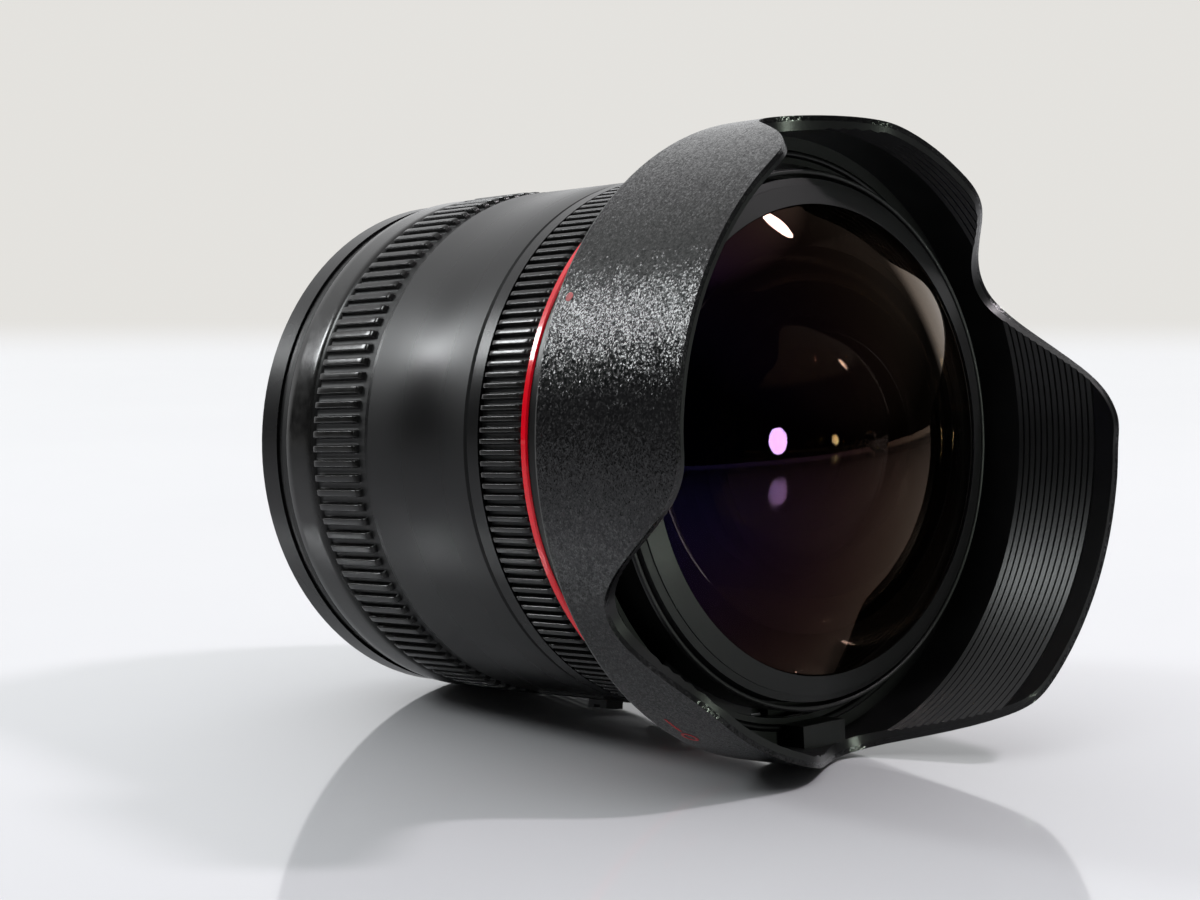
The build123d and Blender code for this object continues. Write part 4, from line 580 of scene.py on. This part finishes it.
# %% Helper for a ribbed sleeve
# Half of a rib: (share of the pitch from its middle, share of its height)
RIB_PROFILE = ((0.0, 1.0), (0.14, 1.0), (0.18, 0.99), (0.21, 0.94), (0.24, 0.74), (0.265, 0.28),
               (0.29, 0.06), (0.33, 0.0))
GROOVE_MIDDLE = (0.5, 0.0)


def rib_run_out(x, start, end, soft):
    """1 along the rib, falling to 0 over a quarter circle at each end."""
    near = min(x - start, end - x) / soft
    if near <= 0:
        return 0.0
    return 1.0 if near >= 1 else math.sqrt(1 - (1 - near) ** 2)


def ribbed_sleeve(name, node, body, stations, seat, rib_start, rib_end, soft, height, count):
    """stations are (x, radius) points of the sleeve's outside, in mm, from back to front."""
    one_rib = [(-share, tall) for share, tall in RIB_PROFILE[:0:-1]]
    one_rib += [*RIB_PROFILE, GROOVE_MIDDLE]
    around = [(2 * math.pi * (rib + share) / count, tall)
              for rib in range(count) for share, tall in one_rib]
    profile = [(x, radius, rib_run_out(x, rib_start, rib_end, soft)) for x, radius in stations]
    profile += [(stations[-1][0], seat, 0.0), (stations[0][0], seat, 0.0)]
    points = []
    for x, radius, along in profile:
        for turn, tall in around:
            out = radius + height * tall * along
            points.append((x * MM, out * math.cos(turn) * MM, out * math.sin(turn) * MM))
    faces = []
    size = len(around)
    for k in range(len(profile)):
        for i in range(size):
            j = (i + 1) % size
            after = (k + 1) % len(profile)
            faces.append((k * size + i, after * size + i, after * size + j, k * size + j))
    data = bpy.data.meshes.new(name)
    data.from_pydata(points, [], faces)
    data.validate()
    shade_smooth(data)
    piece = make_piece(name, data, body, finishes["grip_rubber"])
    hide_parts(node)
    print(name, "has", count, "ribs and", len(faces), "faces")

# %% [markdown]
# ## The two grips
# The wide grip turns the zoom and the narrow one the focus. Behind its ribs the zoom grip has a
# plain band for the numbers. Each sleeve's outline is a list of stations from back to front. They
# are close together at the ribs' ends, where the height changes fast, and far apart elsewhere.

# %% Make the two sleeves
RIB_SOFT, RIB_HEIGHT = 0.75, 0.9
RIB_ENDS = (0.0, 0.06, 0.16, 0.30, 0.50, 0.75)
ZOOM_RIBS, ZOOM_ROOT, ZOOM_SEAT, ZOOM_COUNT = (17.7, 28.3), 38.35, 37.4, 112
FOCUS_RIBS, FOCUS_ROOT, FOCUS_SEAT, FOCUS_COUNT = (56.3, 64.9), 38.2, 37.5, 158
ZOOM_BAND_RADIUS = 39.10


def between(start, end, steps, radius):
    return [(start + (end - start) * i / steps, radius) for i in range(steps + 1)]


zoom_stations = [(9.0, ZOOM_ROOT), (10.4, ZOOM_ROOT), (10.55, 38.62), (10.9, 38.98),
                 (11.3, ZOOM_BAND_RADIUS)]
zoom_stations += between(12.5, 16.0, 3, ZOOM_BAND_RADIUS)
zoom_stations += [(16.7, 39.07), (17.1, 38.93), (17.45, 38.62), (17.6, ZOOM_ROOT)]
zoom_stations += [(ZOOM_RIBS[0] + s, ZOOM_ROOT) for s in RIB_ENDS]
zoom_stations += between(19.5, 26.5, 4, ZOOM_ROOT)
zoom_stations += [(ZOOM_RIBS[1] - s, ZOOM_ROOT) for s in RIB_ENDS[::-1]] + [(29.7, ZOOM_ROOT)]
ribbed_sleeve("zoom_grip_sleeve", "zoom_grip", "zoom", zoom_stations, ZOOM_SEAT, *ZOOM_RIBS,
              RIB_SOFT, RIB_HEIGHT, ZOOM_COUNT)

focus_stations = [(FOCUS_RIBS[0] + s, FOCUS_ROOT) for s in RIB_ENDS]
focus_stations += between(57.8, 63.4, 3, FOCUS_ROOT)
focus_stations += [(FOCUS_RIBS[1] - s, FOCUS_ROOT) for s in RIB_ENDS[::-1]]
focus_stations += [(65.25, FOCUS_ROOT)]
ribbed_sleeve("focus_grip_sleeve", "focus_grip", "focus", focus_stations, FOCUS_SEAT, *FOCUS_RIBS,
              RIB_SOFT, RIB_HEIGHT, FOCUS_COUNT)

# %% [markdown]
# ## Two rounded ridges in front
# The lip round the bezel and the floor of the hood each have a rounded ridge that draws a thin line
# of light. Half a circle, turned about the axis, makes both. The hood's ridge stops short of the
# release button.

# %% Helper that turns a ridge about the axis
RIDGE_STEPS, RIDGE_SIDES, RIDGE_SUNK = 240, 8, 0.02


def ridge(name, x, radius, half_width, start, end, body, material):
    """start and end are angles in degrees; a ridge of 360 degrees closes on itself."""
    rows = []
    builder = bmesh.new()
    closed = end - start >= 360
    count = RIDGE_STEPS if closed else RIDGE_STEPS + 1
    for i in range(count):
        turn = math.radians(start + (end - start) * i / RIDGE_STEPS)
        row = []
        for k in range(RIDGE_SIDES + 1):
            lean = math.pi * k / RIDGE_SIDES
            out = radius + half_width * math.cos(lean)
            ahead = x - RIDGE_SUNK + half_width * math.sin(lean)
            point = Vector((ahead, out * math.cos(turn), out * math.sin(turn)))
            row.append(builder.verts.new(point * MM))
        rows.append(row)
    for i in range(RIDGE_STEPS):
        j = (i + 1) % count
        for k in range(RIDGE_SIDES + 1):
            m = (k + 1) % (RIDGE_SIDES + 1)
            builder.faces.new((rows[i][k], rows[j][k], rows[j][m], rows[i][m]))
    if not closed:
        builder.faces.new(rows[0])
        builder.faces.new(rows[-1])
    data = mesh_from(builder, name)
    shade_smooth(data)
    make_piece(name, data, body, material)

# %% [markdown]
# ## Where the ridges go
# The lip's ridge is a full ring in the bezel's grey. The hood's ridge is black and open below,
# between two angles on either side of the button, and turns with the hood.

# %% Turn the two ridges
LIP_X, LIP_RADIUS, LIP_HALF = 83.0, 37.62, 0.33
FLOOR_X, FLOOR_RADIUS, FLOOR_HALF = 78.2, 40.7, 0.55
BUTTON_SIDES = (-85.2, 263.2)
ridge("lip_ridge", LIP_X, LIP_RADIUS, LIP_HALF, 0.0, 360.0, "body", finishes["bezel_grey"])
ridge("hood_ridge", FLOOR_X, FLOOR_RADIUS, FLOOR_HALF, *BUTTON_SIDES, "hood_assembly",
      finishes["collar_black"])
print("ridges at x", LIP_X, "and", FLOOR_X, "mm")

# %% [markdown]
# ## The button's leaf spring
# Under the hood's release button lies a bow of spring steel. CAD has it as a stiff part, but a real
# leaf flattens when the button is pressed. A smooth bow replaces it.

# %% Bend the leaf spring
BUTTON_ANGLE = math.radians(-91.0)
outward = Vector((0.0, math.cos(BUTTON_ANGLE), math.sin(BUTTON_ANGLE)))
sideways = Vector((0.0, -math.sin(BUTTON_ANGLE), math.cos(BUTTON_ANGLE)))
leaf_low, leaf_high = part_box("button_spring")
LEAF_SEAT = -leaf_high.z / MM
LEAF_RISE, LEAF_THICK, LEAF_WIDTH, LEAF_STEPS = 0.45, 0.25, 4.0, 16
LEAF_CORNERS = ((0, -LEAF_WIDTH / 2), (LEAF_THICK, -LEAF_WIDTH / 2),
                (LEAF_THICK, LEAF_WIDTH / 2), (0, LEAF_WIDTH / 2))
builder = bmesh.new()
leaf_rows = []
for i in range(LEAF_STEPS + 1):
    share = i / LEAF_STEPS
    x = leaf_low.x / MM + (leaf_high.x - leaf_low.x) / MM * share
    lift = LEAF_SEAT + LEAF_RISE * math.sin(math.pi * share) ** 2
    corners = [Vector((x, 0, 0)) + outward * (lift + up) + sideways * side
               for up, side in LEAF_CORNERS]
    leaf_rows.append([builder.verts.new(corner * MM) for corner in corners])
for row, next_row in zip(leaf_rows, leaf_rows[1:]):
    for k in range(4):
        m = (k + 1) % 4
        builder.faces.new((row[k], row[m], next_row[m], next_row[k]))
builder.faces.new(leaf_rows[0][::-1])
builder.faces.new(leaf_rows[-1])
leaf = make_piece("button_leaf", mesh_from(builder, "button_leaf"), "hood_assembly",
                  finishes["spring_steel"])
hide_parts("button_spring")
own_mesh(leaf)
print("leaf spring rises", LEAF_RISE, "mm over", round((leaf_high.x - leaf_low.x) / MM, 1), "mm")

# %% [markdown]
# ## Painted marks on round surfaces
# Marks are paint a few hundredths of a millimetre thick, printed on curved metal. Each is drawn
# flat, in millimetres along the ring and along the axis, made into a thin slab, and wrapped: the
# distance along the ring becomes an angle, and the height becomes radius.

# %% Helpers for marks
PAINT = 0.03
TOP = -29.0


def wrap_on_ring(flat, name, x, angle, radius, body, material):
    """flat is a bmesh with x along the ring, y along the axis and z outward, all in mm."""
    for vertex in flat.verts:
        turn = math.radians(angle) + vertex.co.x / radius
        out = radius + vertex.co.z
        vertex.co = Vector((x + vertex.co.y, out * math.cos(turn), out * math.sin(turn))) * MM
    flat.normal_update()
    make_piece(name, mesh_from(flat, name), body, material)


def circle(radius, steps):
    angles = [2 * math.pi * i / steps for i in range(steps)]
    return [(radius * math.cos(angle), radius * math.sin(angle)) for angle in angles]


def slab(outline):
    """A thin slab from a flat outline, sunk a little into the surface."""
    flat = bmesh.new()
    low = [flat.verts.new((u, v, -PAINT)) for u, v in outline]
    high = [flat.verts.new((u, v, PAINT)) for u, v in outline]
    flat.faces.new(low[::-1])
    flat.faces.new(high)
    count = len(outline)
    for i in range(count):
        j = (i + 1) % count
        flat.faces.new((low[i], low[j], high[j], high[i]))
    return flat


def bar(width, length, steps=8):
    along = [-width / 2 + width * i / steps for i in range(steps + 1)]
    return slab([(u, -length / 2) for u in along] + [(u, length / 2) for u in along[::-1]])


def dot(size):
    return slab(circle(size / 2, 24))


def hoop(size, width, steps=32):
    """A flat ring: an outer and an inner circle, joined."""
    flat = bmesh.new()
    outer, inner = size / 2, size / 2 - width
    rows = [[flat.verts.new((u, v, z)) for u, v in circle(radius, steps)]
            for radius, z in ((outer, -PAINT), (outer, PAINT), (inner, PAINT), (inner, -PAINT))]
    for k in range(4):
        row, next_row = rows[k], rows[(k + 1) % 4]
        for i in range(steps):
            j = (i + 1) % steps
            flat.faces.new((row[i], row[j], next_row[j], next_row[i]))
    return flat

# %% [markdown]
# ## Mark paint
# Screen-printed paint is matte, and its edge is never perfect. A little noise in the colour keeps
# it from looking like a light. Red and white differ only in the two tones.

# %% Make the mark paints
def mark_paint(name, dark, light):
    material, tree, shader, place = start_finish(name, 0.5)
    clouds(tree, shader, place, dark, light, 0.4)
    grain(tree, shader, place, 0.15, 0.006)
    return material


red_paint = mark_paint("mark_red", (0.38, 0.012, 0.018), (0.62, 0.035, 0.040))
white_paint = mark_paint("mark_white", (0.50, 0.50, 0.49), (0.62, 0.62, 0.60))
print("paints:", red_paint.name, white_paint.name)

# %% [markdown]
# ## Marks on the hood
# A red dot shows where the hood goes on, and a short line with a small circle shows where it locks.
# They are near the hood's rear edge, where its wall is a plain cylinder.

# %% Paint the hood's marks
HOOD_RADIUS = 45.4
DOT_X, LOCK_X = 78.1, 79.3
DOT_ANGLE, LINE_ANGLE, CIRCLE_ANGLE = TOP + 180, TOP - 97.5, TOP - 92.9
wrap_on_ring(dot(1.25), "hood_dot", DOT_X, DOT_ANGLE, HOOD_RADIUS, "hood_assembly", red_paint)
wrap_on_ring(bar(3.6, 0.40), "hood_lock_line", LOCK_X, LINE_ANGLE, HOOD_RADIUS, "hood_assembly",
             red_paint)
wrap_on_ring(hoop(2.6, 0.42), "hood_lock_circle", LOCK_X, CIRCLE_ANGLE, HOOD_RADIUS,
             "hood_assembly", red_paint)
hood_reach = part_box("hood")[1].z / MM
print("hood marks at radius", HOOD_RADIUS, "mm; the hood reaches", round(hood_reach, 2))

# %% [markdown]
# ## Numbers on the rings
# The far side of the lens has what every zoom has: focal lengths on the zoom ring, a line to read
# them by, and distances under a window. Blender's own font is turned into a mesh, thickened
# and wrapped like the other marks.

# %% Helper for numbers
def number(text, name, size, x, angle, radius, body, material):
    curve = bpy.data.curves.new(name + "_text", "FONT")
    curve.body = text
    curve.size = size
    curve.align_x = "CENTER"
    curve.align_y = "CENTER"
    letters = bpy.data.objects.new(name + "_text", curve)
    bpy.context.scene.collection.objects.link(letters)
    bpy.context.view_layer.update()
    graph = bpy.context.evaluated_depsgraph_get()
    mesh = bpy.data.meshes.new_from_object(letters.evaluated_get(graph))
    bpy.data.objects.remove(letters)
    flat = bmesh.new()
    flat.from_mesh(mesh)
    bpy.data.meshes.remove(mesh)
    for vertex in flat.verts:
        vertex.co.z = PAINT
    made = bmesh.ops.extrude_face_region(flat, geom=flat.faces[:])
    for part in made["geom"]:
        if isinstance(part, bmesh.types.BMVert):
            part.co.z = -PAINT
    wrap_on_ring(flat, name, x, angle, radius, body, material)

# %% [markdown]
# ## Focal lengths
# Four focal lengths stand on the zoom grip's plain band, unevenly spaced, as on a real zoom. They
# ride with the ring. The line that reads them is on the barrel, so it stays when the ring turns.

# %% Number the zoom ring
FOCAL_LENGTHS = {"8": -30.0, "10": -12.0, "12": 8.0, "15": 30.0}
ZOOM_NUMBER_SIZE, ZOOM_NUMBER_X = 3.4, 14.2
INDEX_X, INDEX_RADIUS = 32.9, 38.9
for text, angle in FOCAL_LENGTHS.items():
    number(text, "zoom_number_" + text, ZOOM_NUMBER_SIZE, ZOOM_NUMBER_X, TOP + angle,
           ZOOM_BAND_RADIUS, "zoom", white_paint)
wrap_on_ring(bar(0.35, 3.0), "zoom_index", INDEX_X, TOP, INDEX_RADIUS, "body", white_paint)
print("focal lengths:", *FOCAL_LENGTHS)

# %% [markdown]
# ## Distances
# The distance scale is a drum under the window. Its numbers and ticks ride on the drum and pass
# under the window when the focus ring turns. Its size is measured from the CAD piece, so the marks
# stay on it if the drum is ever made larger.

# %% Number the distance scale
DISTANCES = {"0.2": -12.0, "0.3": -4.0, "0.5": 4.0, "1": 12.0, "3": 20.0}
SCALE_NUMBER_SIZE, NUMBER_AHEAD, TICK_BEHIND = 2.4, 1.2, 1.6
scale_low, scale_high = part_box("distance_scale")
scale_radius = scale_high.z / MM
scale_x = (scale_low.x + scale_high.x) / 2 / MM
for text, angle in DISTANCES.items():
    name = "scale_number_" + text.replace(".", "_")
    number(text, name, SCALE_NUMBER_SIZE, scale_x + NUMBER_AHEAD, TOP + angle, scale_radius,
           "focus_drive", white_paint)
    wrap_on_ring(bar(0.25, 1.2), name + "_tick", scale_x - TICK_BEHIND, TOP + angle, scale_radius,
                 "focus_drive", white_paint)
print("distances:", *DISTANCES, "at radius", round(scale_radius, 2), "mm")

# %% [markdown]
# ## The dot for fitting the lens
# A small red dome on the rear barrel lines up with a dot on the camera. It is half of a flattened
# ball, spun from a short curve, so that it catches light as a dome does.

# %% Helper for a dome
DOME_RINGS, DOME_STEPS = 6, 24


def dome(name, centre, normal, size, height, body, material):
    builder = bmesh.new()
    side = normal.orthogonal().normalized()
    other = normal.cross(side)
    rows = []
    for k in range(DOME_RINGS):
        lean = math.pi / 2 * k / DOME_RINGS
        flat_circle = circle(size / 2 * math.cos(lean), DOME_STEPS)
        lift = height * math.sin(lean)
        rows.append([builder.verts.new((centre + side * u + other * v + normal * lift) * MM)
                     for u, v in flat_circle])
    tip = builder.verts.new((centre + normal * height) * MM)
    builder.faces.new(rows[0][::-1])
    for row, next_row in zip(rows, rows[1:]):
        for i in range(DOME_STEPS):
            j = (i + 1) % DOME_STEPS
            builder.faces.new((row[i], row[j], next_row[j], next_row[i]))
    for i in range(DOME_STEPS):
        builder.faces.new((rows[-1][i], rows[-1][(i + 1) % DOME_STEPS], tip))
    data = mesh_from(builder, name)
    shade_smooth(data, keep_edges=False)
    make_piece(name, data, body, material)

# %% [markdown]
# ## Where the dot sits
# The dot is in line with the lens's own top, on the rear barrel's sloping edge. A dome that stood
# straight out would sink into the slope on one side, so this one leans back with it.

# %% Make the fitting dot
FITTING_X, FITTING_RADIUS, FITTING_SIZE, FITTING_HEIGHT = 2.25, 36.85, 3.0, 0.9
top = Vector((0.0, math.cos(math.radians(TOP)), math.sin(math.radians(TOP))))
lean_back = (top + Vector((-0.9, 0, 0))).normalized()
dome("fitting_dot", Vector((FITTING_X, 0, 0)) + top * FITTING_RADIUS, lean_back, FITTING_SIZE,
     FITTING_HEIGHT, "body", finishes["red_gloss"])
print("fitting dot at radius", FITTING_RADIUS, "mm")

# %% [markdown]
# ## The table and the wall
# The table is glossy white laminate. The lens leans on its hood, so its axis isn't level
# and the table is the tilted thing in the lens's own frame. Far behind the lens, the table's
# colour fades into the wall's, as its edge is far out of focus in the photograph.

# %% Make the table
FLOOR_NORMAL = Vector((0.0932, 0.0, 0.9957)).normalized()
FLOOR_POINT = Vector((4.1, 0.0, -38.72)) * MM
TABLE_HALF = 4
heading = -camera_back - (-camera_back).dot(FLOOR_NORMAL) * FLOOR_NORMAL
heading.normalize()
across = FLOOR_NORMAL.cross(heading)
builder = bmesh.new()
corners = [FLOOR_POINT + heading * a * TABLE_HALF + across * b * TABLE_HALF
           for a, b in ((-1, -1), (1, -1), (1, 1), (-1, 1))]
builder.faces.new([builder.verts.new(corner) for corner in corners])
table_data = bpy.data.meshes.new("table_top")
builder.to_mesh(table_data)
builder.free()
table = bpy.data.objects.new("table_top", table_data)
bpy.context.scene.collection.objects.link(table)
table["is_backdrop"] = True
print("table tilt in degrees:", round(math.degrees(math.acos(FLOOR_NORMAL.z)), 2))

# %% [markdown]
# ## The table's finish
# Laminate mirrors weakly and a little unevenly. A wall behind the table would need a corner that
# the photograph doesn't show, so the finish fades into the wall's plain colour instead: first at
# the back, and then all round, where the table ends.

# %% Finish the table
WALL = (0.775, 0.762, 0.733, 1)
LAMINATE_DARK, LAMINATE_LIGHT = (0.755, 0.768, 0.790), (0.770, 0.783, 0.803)
EDGE_FADE, RIM_FADE = (0.60, 0.86), (1.3, 1.9)
material, tree, shader, place = start_finish("table_laminate", 0.06)
shader.inputs["Specular IOR Level"].default_value = 0.30
clouds(tree, shader, place, LAMINATE_DARK, LAMINATE_LIGHT, 90.0)
uneven_gloss(tree, shader, place, 0.05, 0.08, 60.0)
behind = add(tree, "VectorMath", {"operation": "DOT_PRODUCT"}, _0=place, _1=heading)
edge = add(tree, "MapRange", {"interpolation_type": "SMOOTHSTEP"}, Value=behind.outputs["Value"],
           _1=EDGE_FADE[0], _2=EDGE_FADE[1])
distance = add(tree, "VectorMath", {"operation": "LENGTH"}, _0=place)
rim = add(tree, "MapRange", {"interpolation_type": "SMOOTHSTEP"}, Value=distance.outputs["Value"],
          _1=RIM_FADE[0], _2=RIM_FADE[1])
fade = add(tree, "Math", {"operation": "MAXIMUM"}, _0=edge.outputs[0], _1=rim.outputs[0])
wall_light = add(tree, "Emission", Color=WALL, Strength=1.0)
blend = add(tree, "MixShader", _0=fade.outputs[0], _1=shader.outputs[0], _2=wall_light.outputs[0])
tree.links.new(blend.outputs[0], tree.nodes["Material Output"].inputs["Surface"])
table_data.materials.append(material)
print("the table fades into the wall from", EDGE_FADE[0], "m behind the lens")

# %% [markdown]
# ## Room light
# Black glossy things show the room they are in, so the room has to be right before any lamp: a pale
# wall behind the lens, a soft light overhead, a weak window and a dark room on the camera's side.
# Each is a patch of the world with a direction and a soft edge, and the brightest patch counts.
# Rays from the camera see the plain wall colour everywhere.

# %% Light the room
WALL_HEADING = math.radians(147)
WALL_DIRECTION = Vector((math.cos(WALL_HEADING), math.sin(WALL_HEADING), 0.30)).normalized()
CEILING_DIRECTION = (0.0, 0.0, 1.0)
WINDOW_DIRECTION = Vector((0.50, 0.45, 0.74)).normalized()
ROOM_COLOUR = (0.985, 0.99, 1.0, 1)
DARKEST = 0.02
world = bpy.data.worlds.new("room")
bpy.context.scene.world = world
world.use_nodes = True
tree = world.node_tree
tree.nodes.clear()
look = add(tree, "TexCoord").outputs["Generated"]


def patch(direction, starts, full, strength):
    """starts and full are the cosines of the angles at which the patch begins and is full."""
    towards = add(tree, "VectorMath", {"operation": "DOT_PRODUCT"}, _0=look, _1=direction)
    return add(tree, "MapRange", {"interpolation_type": "SMOOTHSTEP"},
               Value=towards.outputs["Value"], _1=starts, _2=full, _3=0.0, _4=strength).outputs[0]


def brighter(one, other):
    return add(tree, "Math", {"operation": "MAXIMUM"}, _0=one, _1=other).outputs[0]


wall = patch(WALL_DIRECTION, 0.48, 0.60, 1.05)
ceiling = patch(CEILING_DIRECTION, 0.62, 0.74, 1.0)
window = patch(WINDOW_DIRECTION, 0.55, 0.85, 0.15)
room = brighter(brighter(wall, brighter(window, ceiling)), DARKEST)
room_light = add(tree, "Background", Color=ROOM_COLOUR, Strength=room)
plain_wall = add(tree, "Background", Color=WALL, Strength=1.0)
path = add(tree, "LightPath")
mix = add(tree, "MixShader", _0=path.outputs["Is Camera Ray"], _1=room_light.outputs[0],
          _2=plain_wall.outputs[0])
tree.links.new(mix.outputs[0], add(tree, "OutputWorld").inputs["Surface"])
print("room has a wall, a ceiling and a window")

# %% [markdown]
# ## Lamps
# The highlights in the photograph say where its lamps were: a mirror's rule at the satin barrel and
# the red ring gives a lamp behind the lens on the left, and the bright spot on the glass gives a
# small one above and beyond it. Both light the lens and show in it. Of the other three, the near
# fill only lights, and leaves no mirror image in the black. The near sheen and the round one in
# front only show in reflections: the first glints in the hood's grain, and the second is the spot
# in the middle of the glass. Each is an area lamp that faces the lens.

# %% Helper for a lamp
LENS_CENTRE = Vector((0.055, 0.0, 0.0))


def area_lamp(name, shape, direction, distance, width, height, power, colour, mirrored, spreads):
    lamp_data = bpy.data.lights.new(name, "AREA")
    lamp_data.shape = shape
    lamp_data.size = width
    lamp_data.size_y = height
    lamp_data.energy = power
    lamp_data.color = colour
    lamp = bpy.data.objects.new(name, lamp_data)
    bpy.context.scene.collection.objects.link(lamp)
    direction = Vector(direction).normalized()
    lamp.location = LENS_CENTRE + direction * distance
    lamp.rotation_mode = "QUATERNION"
    lamp.rotation_quaternion = direction.to_track_quat("Z", "Y")
    lamp.visible_glossy = mirrored
    lamp.visible_transmission = mirrored
    lamp.visible_diffuse = spreads

# %% [markdown]
# ## Five lamps
# A table of values keeps the lamps side by side, which makes it easy to see which of them is strong
# and which one is wide. Two are round at the ends, as the spots in the glass are.

# %% Hang the lamps
# name: (shape, direction, distance, width and height in m, watts, colour, mirrored, spreads)
LAMPS = {
    "left_tall": ("RECTANGLE", (-0.707, -0.469, 0.525), 1.1, 0.16, 0.24, 3.5,
                  (0.96, 0.985, 1.0), True, True),
    "far_small": ("ELLIPSE", (0.444, 0.524, 0.727), 1.0, 0.080, 0.14, 3.5,
                  (1.0, 0.93, 0.98), True, True),
    "near_fill": ("RECTANGLE", (0.22, -0.55, 0.80), 1.5, 0.7, 0.7, 0.9,
                  (1.0, 1.0, 1.0), False, True),
    "near_sheen": ("RECTANGLE", (0.22, -0.60, 0.74), 1.5, 0.5, 0.4, 15.0,
                   (0.95, 1.0, 1.0), True, False),
    "front_round": ("ELLIPSE", (0.983, 0.185, -0.016), 1.1, 0.115, 0.13, 7.0,
                    (0.86, 1.0, 0.83), True, False),
}
for name, values in LAMPS.items():
    area_lamp(name, *values)
print("lamps:", len(LAMPS))

# %% [markdown]
# ## Measure and finish
# The dressed lens should stay inside the CAD model's box, so the last line prints how far its box has
# moved from the CAD model's.

# %% Measure the sizes
low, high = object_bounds()
changes = [abs(a - b) for a, b in zip((*low, *high), (*cad_low, *cad_high))]
print("largest change of the box in mm:", round(max(changes) / MM, 3))
